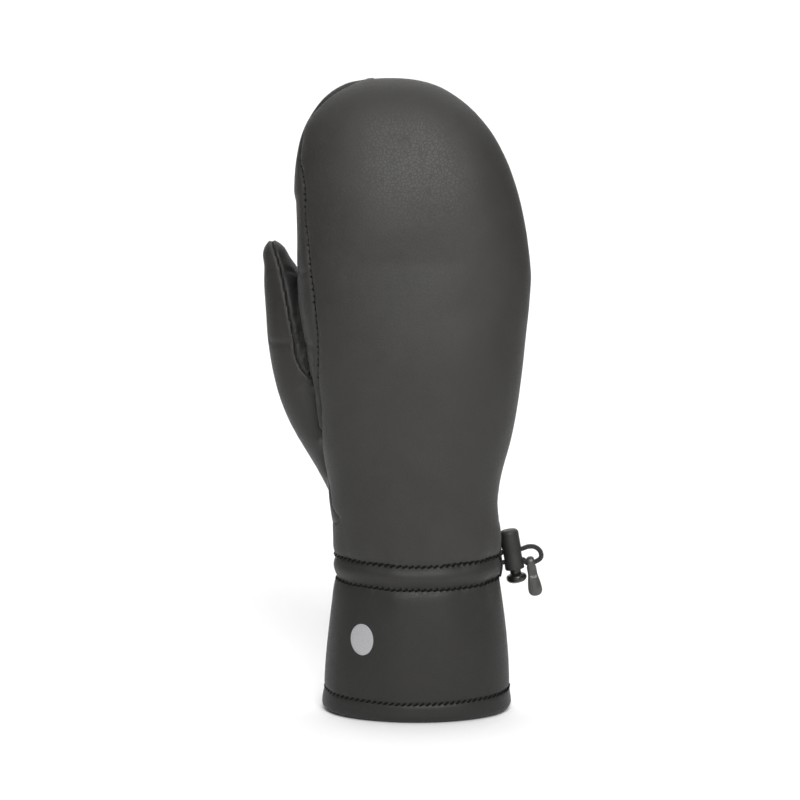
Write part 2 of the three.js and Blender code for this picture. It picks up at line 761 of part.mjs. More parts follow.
addPiece('upper_casing_stitching', 'thread', threadRow(level.casingTop + 1.2, -gap));
addPiece('lower_casing_stitching', 'thread', threadRow(level.casingBottom - 1.2, -gap));
addPiece('hem_stitching', 'thread', threadRow(hemStitchHeight, -gap));
addPiece('reflective_mark', 'reflective_film', reflectiveMark());

addPiece('drawcord', 'elastic_cord', drawcordRing());
addPiece('drawcord_loop', 'elastic_cord', drawcordLoop());
addPiece('lock_keeper_strap', 'strap_leather', keeper());

addPiece('cord_lock_barrel', 'lock_plastic', barrel(), lockGroup);
addPiece('cord_lock_plunger', 'knob_plastic', plunger(), lockGroup);
addPiece('cord_lock_spring', 'spring_steel', spring(), lockGroup);
addPiece('pull_tab', 'tab_rubber', pullTab(), lockGroup).position.set(eye.out, 0, eye.up);
mitten.add(lockGroup);

// The origin is under the middle of the mitten without its cord, on the face it stands on.
const box = new THREE.Box3();
mitten.updateMatrixWorld(true);
mitten.traverse((piece) => {
  if (piece.isMesh && !cordPieces.includes(piece.name)) box.expandByObject(piece, true);
});
const middle = box.getCenter(new THREE.Vector3());
mitten.position.set(-middle.x, -middle.y, -box.min.z);

export default mitten;
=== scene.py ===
import json
import math

import bpy
import numpy as np
from mathutils import Matrix, Vector, kdtree, noise


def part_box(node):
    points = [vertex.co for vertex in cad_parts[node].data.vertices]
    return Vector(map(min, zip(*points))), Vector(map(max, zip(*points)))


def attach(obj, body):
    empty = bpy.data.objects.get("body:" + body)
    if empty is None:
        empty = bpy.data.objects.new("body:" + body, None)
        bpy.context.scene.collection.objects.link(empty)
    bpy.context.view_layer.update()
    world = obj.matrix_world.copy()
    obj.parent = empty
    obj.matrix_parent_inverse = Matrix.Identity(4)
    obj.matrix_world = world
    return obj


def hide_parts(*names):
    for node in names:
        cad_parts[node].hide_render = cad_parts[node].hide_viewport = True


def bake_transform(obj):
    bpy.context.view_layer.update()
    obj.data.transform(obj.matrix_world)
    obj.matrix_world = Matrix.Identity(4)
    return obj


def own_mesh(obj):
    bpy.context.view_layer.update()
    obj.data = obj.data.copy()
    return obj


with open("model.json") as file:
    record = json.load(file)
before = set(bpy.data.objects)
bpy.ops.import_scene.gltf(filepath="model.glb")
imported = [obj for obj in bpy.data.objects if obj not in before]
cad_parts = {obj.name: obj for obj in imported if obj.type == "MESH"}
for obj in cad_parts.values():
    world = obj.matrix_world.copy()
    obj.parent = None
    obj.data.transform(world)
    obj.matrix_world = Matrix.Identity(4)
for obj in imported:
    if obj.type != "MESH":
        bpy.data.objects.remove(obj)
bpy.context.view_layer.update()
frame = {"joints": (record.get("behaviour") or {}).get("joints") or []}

bl_info = {
    "name": "Ski mitten",
    "version": (1, 0, 0),
    "blender": (4, 5, 0),
    "location": "3D View > Sidebar > Mitten",
    "description": "Builds an insulated leather ski mitten with its drawcord and cord lock",
    "category": "Add Mesh",
}

# ---------------------------------------------------------------- where things are, from the frame

CUFF_LOW, CUFF_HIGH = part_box("cuff_panel")
CASING_LOW, CASING_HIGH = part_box("drawcord_casing")
# The middle of the cuff's mouth, which the tables of outlines below are measured from.
MOUTH = Vector(((CUFF_LOW.x + CUFF_HIGH.x) / 2 + 0.0001, (CUFF_LOW.y + CUFF_HIGH.y) / 2, CUFF_LOW.z))
JOINTS = {j["name"]: j for j in frame["joints"]}
LOCK_UP = Vector(JOINTS["plunger_press"]["axis"]).normalized()
LOCK_OUT = Vector(JOINTS["loop_pull"]["axis"]).normalized()
TAB_EYE = Vector(JOINTS["tab_swing"]["pos_m"])
# The tab's eye lies this far out and down from the lock's middle, in millimetres.
EYE_OUT, EYE_UP = 7.7, -8.3
LOCK = TAB_EYE - LOCK_OUT * EYE_OUT * 0.001 - LOCK_UP * EYE_UP * 0.001

# The leather is sewn a little above the casing's own edges.
CASING_BOTTOM = CASING_LOW.z * 1000 + 1.2
CASING_TOP = CASING_HIGH.z * 1000 + 0.7
CASING_MIDDLE = (CASING_BOTTOM + CASING_TOP) / 2
WRIST_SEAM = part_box("palm_wrist_panel")[1].z * 1000 - 0.3
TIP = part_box("palm_panel")[1].z * 1000


# ---------------------------------------------------------------- sizes and colours that can be changed


class MittenSizes(bpy.types.PropertyGroup):
    """Sizes of the mitten's leather and filling."""

    leather: bpy.props.FloatProperty(
        name="Leather", description="Thickness of the leather", default=0.0011, unit="LENGTH"
    )
    groove: bpy.props.FloatProperty(
        name="Seam depth", description="How deep a sewn seam sinks into the padded surface", default=0.0011,
        unit="LENGTH",
    )
    puff: bpy.props.FloatProperty(
        name="Puff", description="How far the filling swells the leather between its seams", default=0.0012,
        unit="LENGTH",
    )
    voxel: bpy.props.FloatProperty(
        name="Detail", description="Size of the mesh that the hand panels are cut from", default=0.0013, unit="LENGTH"
    )


class StitchSizes(bpy.types.PropertyGroup):
    """Sizes of the stitching."""

    pitch: bpy.props.FloatProperty(
        name="Pitch", description="Length from one stitch to the next", default=0.0028, unit="LENGTH"
    )
    length: bpy.props.FloatProperty(
        name="Length", description="Length of the thread that shows in one stitch", default=0.0022, unit="LENGTH"
    )
    thread: bpy.props.FloatProperty(
        name="Thread", description="Diameter of the thread", default=0.0008, unit="LENGTH"
    )


class MittenColours(bpy.types.PropertyGroup):
    """Base colours, as linear values."""

    leather: bpy.props.FloatVectorProperty(
        name="Leather", description="The smooth outer leather", subtype="COLOR", default=(0.0285, 0.0275, 0.0260)
    )
    fleece: bpy.props.FloatVectorProperty(
        name="Fleece", description="The lining", subtype="COLOR", default=(0.02, 0.02, 0.021)
    )
    mark: bpy.props.FloatVectorProperty(
        name="Mark", description="The reflective oval on the cuff", subtype="COLOR", default=(0.44, 0.43, 0.445)
    )


# ---------------------------------------------------------------- outlines, in millimetres from the cuff's mouth

# Height, and how far the mitten reaches to the little finger's side, to the thumb's side, behind and in front.
OUTLINE = (
    (0.0, 43.3, 43.5, 29.4, 29.4),
    (3.0, 43.7, 43.8, 29.5, 29.4),
    (8.5, 43.2, 43.2, 29.1, 29.0),
    (25.0, 42.0, 41.6, 28.1, 28.2),
    (40.0, 40.5, 39.9, 27.0, 27.2),
    (50.0, 39.3, 38.8, 26.0, 26.4),
    (56.0, 38.6, 38.2, 25.2, 25.6),
    (58.5, 38.3, 37.8, 24.7, 25.2),
    (64.3, 37.8, 36.8, 24.4, 24.9),
    (70.0, 37.5, 37.0, 24.6, 25.1),
    (74.0, 38.7, 37.9, 24.9, 25.4),
    (80.0, 38.9, 38.2, 25.0, 25.8),
    (88.0, 37.9, 38.9, 25.0, 26.4),
    (97.0, 37.5, 40.3, 25.6, 27.6),
    (106.0, 38.8, 41.0, 26.2, 28.8),
    (125.0, 43.3, 44.0, 27.4, 31.0),
    (143.0, 46.5, 46.5, 28.2, 32.2),
    (171.0, 49.6, 51.0, 28.6, 32.4),
    (190.0, 51.3, 53.8, 28.0, 31.2),
    (199.0, 51.7, 54.2, 27.6, 30.6),
    (218.0, 51.7, 54.4, 26.8, 29.6),
    (236.0, 51.7, 55.0, 26.8, 29.6),
)
# The fingertip's dome: where it starts, how far it reaches from the lean of the fingers, and its squareness.
DOMES = ((199.0, 61.7, 2.1), (236.0, 45.0, 2.6), (203.0, 27.2, 2.15), (203.0, 30.2, 2.15))
LEAN = ((88.0, 0.0), (130.0, -2.5), (199.0, -10.0), (290.0, -10.0))
CURL = ((160.0, 0.0), (236.0, 2.6), (290.0, 6.0))
SQUARE = ((0.0, 2.05), (64.0, 2.1), (165.0, 2.45), (290.0, 2.3))

# The thumb's middle line, its half width and its half depth.
THUMB = (
    (-22.0, 6.0, 90.0, 12.0, 12.5),
    (-33.4, 11.0, 117.0, 14.3, 15.6),
    (-45.6, 15.6, 143.0, 16.6, 16.6),
    (-54.0, 18.8, 170.0, 15.2, 16.4),
    (-59.4, 20.4, 189.0, 11.4, 14.2),
    (-62.4, 21.2, 198.5, 9.0, 11.6),
    (-65.0, 21.6, 206.5, 6.2, 8.6),
)
# How far the thumb's rounded end goes beyond the table.
THUMB_END = 9.0

# Seams as (height, x): the back panel's edge on the thumb side, the gusset's lower edge, the thumb's root on the
# palm and the thumb's front seam. As (height, y): the palm panel's edges and the thumb's side seam.
BACK_SEAM = (
    (82.0, -60.0), (87.0, -38.6), (95.6, -39.4), (104.9, -40.6), (115.5, -42.6), (129.5, -43.6), (144.3, -44.4),
    (150.8, -45.1), (176.3, -45.7), (201.8, -48.0), (223.6, -50.5), (245.5, -51.9), (250.0, -53.0), (258.4, -52.7),
    (273.8, -46.9), (284.0, -34.6), (290.0, -22.0), (296.0, -10.0),
)
CROTCH = ((117.0, -30.0), (123.0, -42.0), (127.0, -43.2), (139.7, -48.5), (155.0, -50.8), (161.0, -62.0))
BALL = ((86.0, -25.0), (110.0, -17.0), (138.0, -20.0), (154.0, -32.0), (165.0, -46.0), (172.0, -60.0))
THUMB_FRONT = (
    (90.0, 0.0), (140.0, -30.0), (150.0, -45.0), (155.0, -50.7), (176.0, -57.3), (190.0, -60.0), (204.0, -63.2),
    (218.0, -68.0),
)
EQUATOR = ((70.0, 0.5), (88.0, 0.5), (112.0, 3.0), (240.0, 3.4), (290.0, 6.5))
GUSSET_PALM = ((88.0, 13.0), (200.0, 14.5), (250.0, 13.5), (276.0, 10.5), (288.0, 6.5), (292.0, 5.0))
THUMB_SIDE = ((88.0, 9.0), (118.0, 15.0), (143.0, 20.5), (175.0, 24.0), (201.0, 26.5), (222.0, 27.5))


def through(points, value=1):
    """A smooth function through a table's points, for numbers and arrays."""
    xs = np.array([p[0] for p in points], float)
    ys = np.array([p[value] for p in points], float)
    slopes = np.gradient(ys, xs)

    def at(x):
        x = np.clip(np.asarray(x, float), xs[0], xs[-1])
        i = np.clip(np.searchsorted(xs, x, side="right") - 1, 0, len(xs) - 2)
        step = xs[i + 1] - xs[i]
        t = (x - xs[i]) / step
        rise = ys[i + 1] - ys[i]
        a, b = slopes[i] * step, slopes[i + 1] * step
        return ys[i] + t * (a + t * (3 * rise - 2 * a - b + t * (a + b - 2 * rise)))

    return at


def run_of(points):
    """How far along a line each of its points lies."""
    return np.concatenate([[0], np.cumsum(np.linalg.norm(np.diff(points, axis=0), axis=1))])


def unit(vectors):
    """Rows of vectors, each made one long."""
    return vectors / np.linalg.norm(vectors, axis=1)[:, None]


LEAN_AT, CURL_AT, SQUARE_AT = through(LEAN), through(CURL), through(SQUARE)
REACH_AT = [through(OUTLINE, k) for k in (1, 2, 3, 4)]


def dome(x, power):
    return np.power(np.clip(1 - np.power(np.clip(x, 0, 1), power), 0, None), 1 / power)


def reaches(z, inset=0.0):
    """How far the form reaches from its middle at a height: right, left, behind and in front."""
    z = np.asarray(z, float)
    found = []
    for k, (start, full, power) in enumerate(DOMES):
        keep = np.where(z > start, dome((z - start) / (TIP - start), power), 1.0)
        lean = LEAN_AT(z) * (-1 if k == 0 else 1) if k < 2 else 0.0
        plain = np.where(z > start, full, REACH_AT[k](z) + lean)
        found.append((plain - inset) * keep)
    return found


def form_points(z, angle, inset=0.0):
    """Points of the hand's and the cuff's form, in metres. An inset moves them inwards."""
    z, angle = np.broadcast_arrays(np.asarray(z, float), np.asarray(angle, float))
    c, s = np.cos(angle), np.sin(angle)
    power = 2 / SQUARE_AT(z)
    right, left, behind, front = reaches(z, inset)
    x = np.sign(c) * np.abs(c) ** power * np.where(c > 0, right, left)
    y = np.sign(s) * np.abs(s) ** power * np.where(s > 0, front, behind)
    low = np.clip((z - DOMES[0][0]) / (TIP - DOMES[0][0]), 0, 1) * np.broadcast_to(inset, z.shape)
    flat = np.stack([x + LEAN_AT(z), y + CURL_AT(z), z - low], -1)
    return flat * 0.001 + np.array(MOUTH)


def in_form(points):
    """Points in millimetres from the cuff's mouth."""
    return (points - np.array(MOUTH)) * 1000


def thumb_line(count=80):
    """Middle points, half widths, half depths and side directions along the thumb, in millimetres."""
    table = np.array(THUMB)
    steps = run_of(table[:, :3])
    s = np.linspace(0, steps[-1], count)
    columns = [through(list(zip(steps, table[:, k])))(s) for k in range(5)]
    middle = np.stack(columns[:3], 1)
    along = unit(np.gradient(middle, axis=0))
    wide = unit(np.cross([0.0, 1.0, 0.0], along))
    return s, middle, columns[3], columns[4], along, wide, np.cross(along, wide)


def hand_distance(p, inset=0.0):
    """Roughly how far points lie outside the hand's form, in millimetres."""
    z = np.clip(p[:, 2], 0, TIP - 0.5)
    right, left, behind, front = reaches(z, inset)
    x, y = p[:, 0] - LEAN_AT(z), p[:, 1] - CURL_AT(z)
    a = np.where(x > 0, right, left)
    b = np.where(y > 0, front, behind)
    n = SQUARE_AT(z)
    size = (np.abs(x / a) ** n + np.abs(y / b) ** n) ** (1 / n) + 1e-6
    return np.hypot(x, y) * (1 - 1 / size)


def thumb_distance(p, inset=0.0):
    """Roughly how far points lie outside the thumb's form, in millimetres."""
    s, middle, width, depth, along, wide, deep = thumb_line()
    best = np.full(len(p), 1e9)
    for k in range(len(s)):
        d = p - middle[k]
        w, h, l = d @ wide[k], d @ deep[k], d @ along[k]
        over = np.clip(l, 0, None) if k == len(s) - 1 else l
        size = np.sqrt((w / (width[k] - inset)) ** 2 + (h / (depth[k] - inset)) ** 2 + (over / THUMB_END) ** 2) + 1e-6
        here = np.sqrt(w * w + h * h + over * over) * (1 - 1 / size)
        near = np.abs(l) < 2.2 if k < len(s) - 1 else np.ones(len(p), bool)
        best = np.where(near, np.minimum(best, here), best)
    return best


# ---------------------------------------------------------------- meshes


def shown(name, data):
    """A new object in the scene for a mesh, a light or a camera."""
    obj = bpy.data.objects.new(name, data)
    bpy.context.scene.collection.objects.link(obj)
    return obj


def new_object(name, points, faces, smooth=True):
    mesh = bpy.data.meshes.new(name)
    mesh.from_pydata([tuple(p) for p in points], [], [tuple(int(i) for i in f) for f in faces])
    mesh.validate()
    if smooth:
        mesh.shade_smooth()
    return shown(name, mesh)


def applied(obj, name):
    """A plain mesh object of what obj looks like with its modifiers. obj is removed."""
    depsgraph = bpy.context.evaluated_depsgraph_get()
    mesh = bpy.data.meshes.new_from_object(obj.evaluated_get(depsgraph), depsgraph=depsgraph)
    data = obj.data
    bpy.data.objects.remove(obj)
    if isinstance(data, bpy.types.Mesh):
        bpy.data.meshes.remove(data)
    mesh.name = name
    return shown(name, mesh)


def without(obj, tool, name):
    """A piece with a tool's shape cut out of it. The tool is removed."""
    cut_out = obj.modifiers.new("cut", "BOOLEAN")
    cut_out.operation, cut_out.solver, cut_out.object = "DIFFERENCE", "EXACT", tool
    made = applied(obj, name)
    bpy.data.objects.remove(tool)
    return made


def ring_faces(rows, around, close_rows=False):
    i, j = np.meshgrid(np.arange(rows if close_rows else rows - 1), np.arange(around), indexing="ij")
    k, up = (j + 1) % around, (i + 1) % rows
    return np.stack([i * around + j, i * around + k, up * around + k, up * around + j], -1).reshape(-1, 4)


def capped(points, rows, around, first, last):
    """A closed skin over rows of rings, with a point at each end."""
    faces = [tuple(f) for f in ring_faces(rows, around)]
    low, high = len(points), len(points) + 1
    points = np.vstack([points, first, last])
    top = (rows - 1) * around
    for j in range(around):
        k = (j + 1) % around
        faces += [(low, k, j), (high, top + j, top + k)]
    return points, faces


def arrays(mesh):
    """A mesh's points and triangles as arrays."""
    points = np.empty(len(mesh.vertices) * 3)
    mesh.vertices.foreach_get("co", points)
    mesh.calc_loop_triangles()
    faces = np.empty(len(mesh.loop_triangles) * 3, int)
    mesh.loop_triangles.foreach_get("vertices", faces)
    return points.reshape(-1, 3), faces.reshape(-1, 3)


def edges_of(faces):
    """Each triangle's three edges, in its own direction."""
    return np.vstack([faces[:, [0, 1]], faces[:, [1, 2]], faces[:, [2, 0]]])


def tree_of(spots):
    """A search tree over points."""
    tree = kdtree.KDTree(len(spots))
    for k, spot in enumerate(spots):
        tree.insert(spot, k)
    tree.balance()
    return tree


def normals_of(points, faces):
    a, b, c = (points[faces[:, k]] for k in range(3))
    flat = np.cross(b - a, c - a)
    found = np.zeros_like(points)
    for k in range(3):
        np.add.at(found, faces[:, k], flat)
    return found / (np.linalg.norm(found, axis=1)[:, None] + 1e-20)


def smoothed(points, faces, rounds, shrink=0.5, grow=-0.52):
    """Evens a skin out without making it smaller."""
    edges = np.unique(np.sort(edges_of(faces), axis=1), axis=0)
    count = np.zeros(len(points))
    np.add.at(count, edges[:, 0], 1)
    np.add.at(count, edges[:, 1], 1)
    count = np.maximum(count, 1)[:, None]
    for _ in range(rounds):
        for pull in (shrink, grow):
            total = np.zeros_like(points)
            np.add.at(total, edges[:, 0], points[edges[:, 1]])
            np.add.at(total, edges[:, 1], points[edges[:, 0]])
            points = points + pull * (total / count - points)
    return points


def body_skin(voxel, inset=0.0, thumb_inset=0.0, around=120, rounds=6):
    """The hand with its thumb as one skin of small triangles, from the cuff's mouth to the fingertip."""
    rise = np.linspace(0, 1, 40)
    start = DOMES[0][0]
    domed = start + (TIP - start) * np.sin(rise * math.pi / 2 * 0.985)
    heights = np.concatenate([np.linspace(0, start, 90)[:-1], domed])
    angle = np.linspace(0, 2 * math.pi, around, endpoint=False)
    zz, aa = np.meshgrid(heights, angle, indexing="ij")
    points = form_points(zz, aa, inset).reshape(-1, 3)
    low = np.array(MOUTH)
    high = form_points(TIP - 0.02, 0.0, inset)
    high = np.array([high[0] * 0 + (LEAN_AT(TIP) * 0.001 + MOUTH.x), CURL_AT(TIP) * 0.001 + MOUTH.y, high[2]])
    points, faces = capped(points, len(heights), around, low, high)
    hand = new_object("skin", points, faces)

    s, middle, width, depth, along, wide, deep = thumb_line(60)
    sides = 56
    rings = []
    angle = np.linspace(0, 2 * math.pi, sides, endpoint=False)
    for k in range(len(s)):
        w, h = width[k] - thumb_inset, depth[k] - thumb_inset
        rings.append(middle[k] + np.outer(w * np.cos(angle), wide[k]) + np.outer(h * np.sin(angle), deep[k]))
    for turn in np.radians([15, 30, 45, 58, 70, 80]):
        w, h = (width[-1] - thumb_inset) * np.cos(turn), (depth[-1] - thumb_inset) * np.cos(turn)
        spot = middle[-1] + along[-1] * (THUMB_END - thumb_inset * 0.6) * np.sin(turn)
        rings.append(spot + np.outer(w * np.cos(angle), wide[-1]) + np.outer(h * np.sin(angle), deep[-1]))
    tip = middle[-1] + along[-1] * (THUMB_END - thumb_inset * 0.6)
    points = np.vstack(rings) * 0.001 + np.array(MOUTH)
    ends = [v * 0.001 + np.array(MOUTH) for v in (middle[0], tip)]
    points, faces = capped(points, len(rings), sides, *ends)
    thumb = new_object("thumb_skin", points, faces)

    join = hand.modifiers.new("join", "BOOLEAN")
    join.operation, join.solver, join.object = "UNION", "EXACT", thumb
    remesh = hand.modifiers.new("remesh", "REMESH")
    remesh.mode, remesh.voxel_size, remesh.adaptivity = "VOXEL", voxel, 0.0
    whole = applied(hand, "skin")
    bpy.data.objects.remove(thumb)
    points, faces = arrays(whole.data)
    bpy.data.objects.remove(whole)
    flat = normals_of(points, faces)
    if np.einsum("ij,ij->i", flat, points - points.mean(0)).mean() < 0:
        faces = faces[:, ::-1]
    return smoothed(points, faces, rounds), faces


def cut(points, faces, fields, column):
    """Splits the triangles where one field changes sign, so that its seam runs along edges."""
    fields = fields.copy()
    fields[np.abs(fields[:, column]) < 0.04, column] = 0.0
    value = fields[:, column]
    sign = np.sign(value)
    s = sign[faces]
    crossing = (s.max(1) > 0) & (s.min(1) < 0)
    kept = [faces[~crossing]]
    extra_points, extra_fields, made, fresh = [], [], {}, []

    def between(a, b):
        key = (a, b) if a < b else (b, a)
        if key not in made:
            a, b = key
            t = value[a] / (value[a] - value[b])
            made[key] = len(points) + len(extra_points)
            extra_points.append(points[a] + t * (points[b] - points[a]))
            row = fields[a] + t * (fields[b] - fields[a])
            row[column] = 0.0
            extra_fields.append(row)
        return made[key]

    for a, b, c in faces[crossing].tolist():
        turned = ((a, b, c), (b, c, a), (c, a, b))
        zero = [t for t in turned if sign[t[0]] == 0]
        if zero:
            a, b, c = zero[0]
            m = between(b, c)
            fresh += [(a, b, m), (a, m, c)]
            continue
        a, b, c = next(t for t in turned if sign[t[1]] == sign[t[2]])
        m, n = between(a, b), between(a, c)
        fresh += [(a, m, n), (m, b, c), (m, c, n)]
    if fresh:
        kept.append(np.array(fresh, int))
        points = np.vstack([points, extra_points])
        fields = np.vstack([fields, extra_fields])
    return points, np.vstack(kept), fields


def boundary_of(faces):
    """The edges that only one triangle has, in that triangle's direction."""
    edges = edges_of(faces)
    key = edges[:, 0].astype(np.int64) * (edges.max() + 1) + edges[:, 1]
    back = edges[:, 1].astype(np.int64) * (edges.max() + 1) + edges[:, 0]
    return edges[~np.isin(key, back)]


def thick_panel(name, points, faces, normal, thickness, pull=0.00006):
    """A closed sheet of leather from a skin: its edge drawn in a little, and a wall below it."""
    used, faces = np.unique(faces, return_inverse=True)
    faces = faces.reshape(-1, 3)
    points, normal = points[used].copy(), normal[used]
    rim = boundary_of(faces)
    inward = np.zeros_like(points)
    centre = points[faces].mean(1)
    on_rim = np.zeros(len(points), bool)
    on_rim[rim.ravel()] = True
    for k in range(3):
        np.add.at(inward, faces[:, k], centre - points[faces[:, k]])
    size = np.linalg.norm(inward, axis=1)[:, None] + 1e-12
    points[on_rim] += (inward / size)[on_rim] * pull
    count = len(points)
    inner = points - normal * thickness
    walls = [(b, a, a + count, b + count) for a, b in rim]
    whole = [tuple(f) for f in faces] + [tuple(f[::-1] + count) for f in faces] + walls
    return new_object(name, np.vstack([points, inner]), whole)


def ripple(points, size, seed=0.0, stretch=(1, 1, 1)):
    """Smooth noise from -1 to 1 at points in metres, with waves of about size."""
    at = points * (np.array(stretch) / size) + seed
    return np.array([noise.noise(Vector(p)) for p in at])


# ---------------------------------------------------------------- seams on the hand panels

# The hand's panels: each one's piece, slot, finish where it isn't the slot's, and node.
PANELS = (
    ("leather_back", "shell_leather", None, "back_panel"),
    ("leather_gusset", "side_leather", None, "index_side_gusset"),
    ("leather_palm", "shell_leather", None, "palm_panel"),
    ("leather_wrist", "side_leather", None, "palm_wrist_panel"),
    ("leather_thumb_outer", "side_leather", None, "thumb_outer_panel"),
    # The inner thumb panel's finish is the leather darkened as painted shade, standing in for the shade where that
    # panel faces away from the light.
    ("leather_thumb_inner", "side_leather", "thumb_leather", "thumb_inner_panel"),
)
BACK, GUSSET, PALM, WRIST, THUMB_OUTER, THUMB_INNER = range(len(PANELS))


def seam_fields(p):
    """For points in millimetres, how far they are inside the back, the gusset, the thumb, its outer panel, and above
    the wrist's seam and the casing."""
    x, y, z = p.T
    near = x - through(BACK_SEAM)(z)
    level = through(EQUATOR)(z) - y
    round_over = 4.0
    mix = np.clip(0.5 + 0.5 * (level - near) / round_over, 0, 1)
    back = level * (1 - mix) + near * mix - round_over * mix * (1 - mix)
    gusset = np.minimum(through(GUSSET_PALM)(z) - y, -6 - x)
    crotch = through(CROTCH)(z) - x
    ball = through(BALL)(z) - x
    on_hand = np.minimum(np.minimum(ball, 168 - z), np.maximum(y - 13, crotch))
    bulge = np.clip((y - 10) / 10, 0, 1) * 3.0
    thumb = np.maximum(hand_distance(p) - thumb_distance(p) + bulge * (z < 176), on_hand)
    thumb = np.where(z > 235, -20.0, thumb)
    side = through(THUMB_SIDE)(z) - y
    front = through(THUMB_FRONT)(z) - x
    return np.stack([back, gusset, thumb, np.minimum(side, front), z - WRIST_SEAM, z - CASING_TOP], 1)


def labelled(fields, faces):
    """Which panel each triangle belongs to, as an index into PANELS."""
    inside = [fields[faces, k].sum(1) > 0 for k in range(6)]
    back, gusset, thumb, outer, above, _ = inside
    label = np.full(len(faces), PALM)
    label[gusset] = GUSSET
    label[thumb & outer] = THUMB_OUTER
    label[thumb & ~outer] = THUMB_INNER
    label[~above] = WRIST
    label[back] = BACK
    return label


def seam_points(points, faces, label):
    """Close-set points along every edge between two panels, with which panels meet there."""
    edges = edges_of(faces)
    owner = np.tile(label, 3)
    low = np.sort(edges, axis=1)
    order = np.lexsort((low[:, 1], low[:, 0]))
    low, owner = low[order], owner[order]
    same = (low[1:] == low[:-1]).all(1) & (owner[1:] != owner[:-1])
    pairs, kinds = low[1:][same], np.sort(np.stack([owner[1:][same], owner[:-1][same]], 1), axis=1)
    steps = np.linspace(0, 1, 4)
    spots = np.concatenate([points[pairs[:, 0]] * (1 - t) + points[pairs[:, 1]] * t for t in steps])
    return spots, np.tile(kinds, (len(steps), 1)), pairs, kinds


def distance_to(points, spots, limit=0.03):
    """How far points in metres are from the nearest of the spots, and which one it is."""
    tree = tree_of(spots)
    far = np.full(len(points), limit)
    which = np.zeros(len(points), int)
    for k, p in enumerate(points):
        _, index, gap = tree.find(p)
        far[k], which[k] = min(gap, limit), index
    return far, which


# The cloth that swells the hand: its voxel and the most it may move in metres, its pressure, how many times its
# movement is evened out, and the share of it that is used.
CLOTH_VOXEL, CLOTH_CAP = 0.0045, 0.0012
CLOTH_PRESSURE, CLOTH_CALM, CLOTH_SHARE = 2.4, 14, 0.7


def inflated(points, faces, held, pressure, cap):
    """How a coarse skin moves when the filling presses it out and its seams are held: a movement for each point."""
    coarse = new_object("coarse", points, [tuple(f) for f in faces])
    group = coarse.vertex_groups.new(name="seams")
    for k in np.nonzero(held > 0)[0]:
        group.add([int(k)], float(held[k]), "REPLACE")
    cloth = coarse.modifiers.new("press", "CLOTH")
    settings = cloth.settings
    settings.quality = 6
    settings.mass = 0.2
    settings.tension_stiffness = settings.compression_stiffness = 18
    settings.shear_stiffness = 12
    settings.bending_stiffness = 3.0
    settings.use_pressure = True
    settings.uniform_pressure_force = pressure
    settings.effector_weights.gravity = 0
    settings.vertex_group_mass = "seams"
    settings.shrink_min = -0.012
    cloth.point_cache.frame_start, cloth.point_cache.frame_end = 1, 20
    scene = bpy.context.scene
    for step in range(1, 21):
        scene.frame_set(step)
    depsgraph = bpy.context.evaluated_depsgraph_get()
    moved = coarse.evaluated_get(depsgraph).to_mesh()
    after = np.empty(len(moved.vertices) * 3)
    moved.vertices.foreach_get("co", after)
    shift = after.reshape(-1, 3) - points
    bpy.data.objects.remove(coarse)
    scene.frame_set(1)
    size = np.linalg.norm(shift, axis=1)[:, None] + 1e-12
    return shift * np.minimum(1, cap / size)


def calmed(shift, faces, rounds):
    """A movement evened out between neighbouring points."""
    a, b = edges_of(faces).T
    count = np.bincount(a, minlength=len(shift)) + np.bincount(b, minlength=len(shift))
    for _ in range(rounds):
        total = np.zeros_like(shift)
        np.add.at(total, a, shift[b])
        np.add.at(total, b, shift[a])
        shift = 0.4 * shift + 0.6 * total / np.maximum(count, 1)[:, None]
    return shift


def carried(points, spots, shift, reach=0.007):
    """A coarse skin's movement at finer points, as a weighted mean of what is near."""
    tree = tree_of(spots)
    moved = np.zeros_like(points)
    for k, p in enumerate(points):
        near = tree.find_n(p, 8)
        weight = np.array([math.exp(-(gap / reach * 2) ** 2) + 1e-9 for _, _, gap in near])
        moved[k] = weight @ shift[[n[1] for n in near]] / weight.sum()
    return moved


# ---------------------------------------------------------------- materials


class Socket:
    """A node's output, with arithmetic that adds Math nodes."""

    def __init__(self, finish, out):
        self.finish, self.out = finish, out

    def math(self, operation, *values):
        return self.finish.node("ShaderNodeMath", {"operation": operation}, *values)

    def __add__(self, other):
        return self.math("ADD", self, other)

    __radd__ = __add__

    def __sub__(self, other):
        return self.math("SUBTRACT", self, other)

    def __rsub__(self, other):
        return self.math("SUBTRACT", other, self)

    def __mul__(self, other):
        return self.math("MULTIPLY", self, other)

    __rmul__ = __mul__

    def above(self, low, high):
        """From 0 at low to 1 at high."""
        settings = {"interpolation_type": "SMOOTHSTEP"}
        return self.finish.node("ShaderNodeMapRange", settings, self, low, high, 0.0, 1.0)


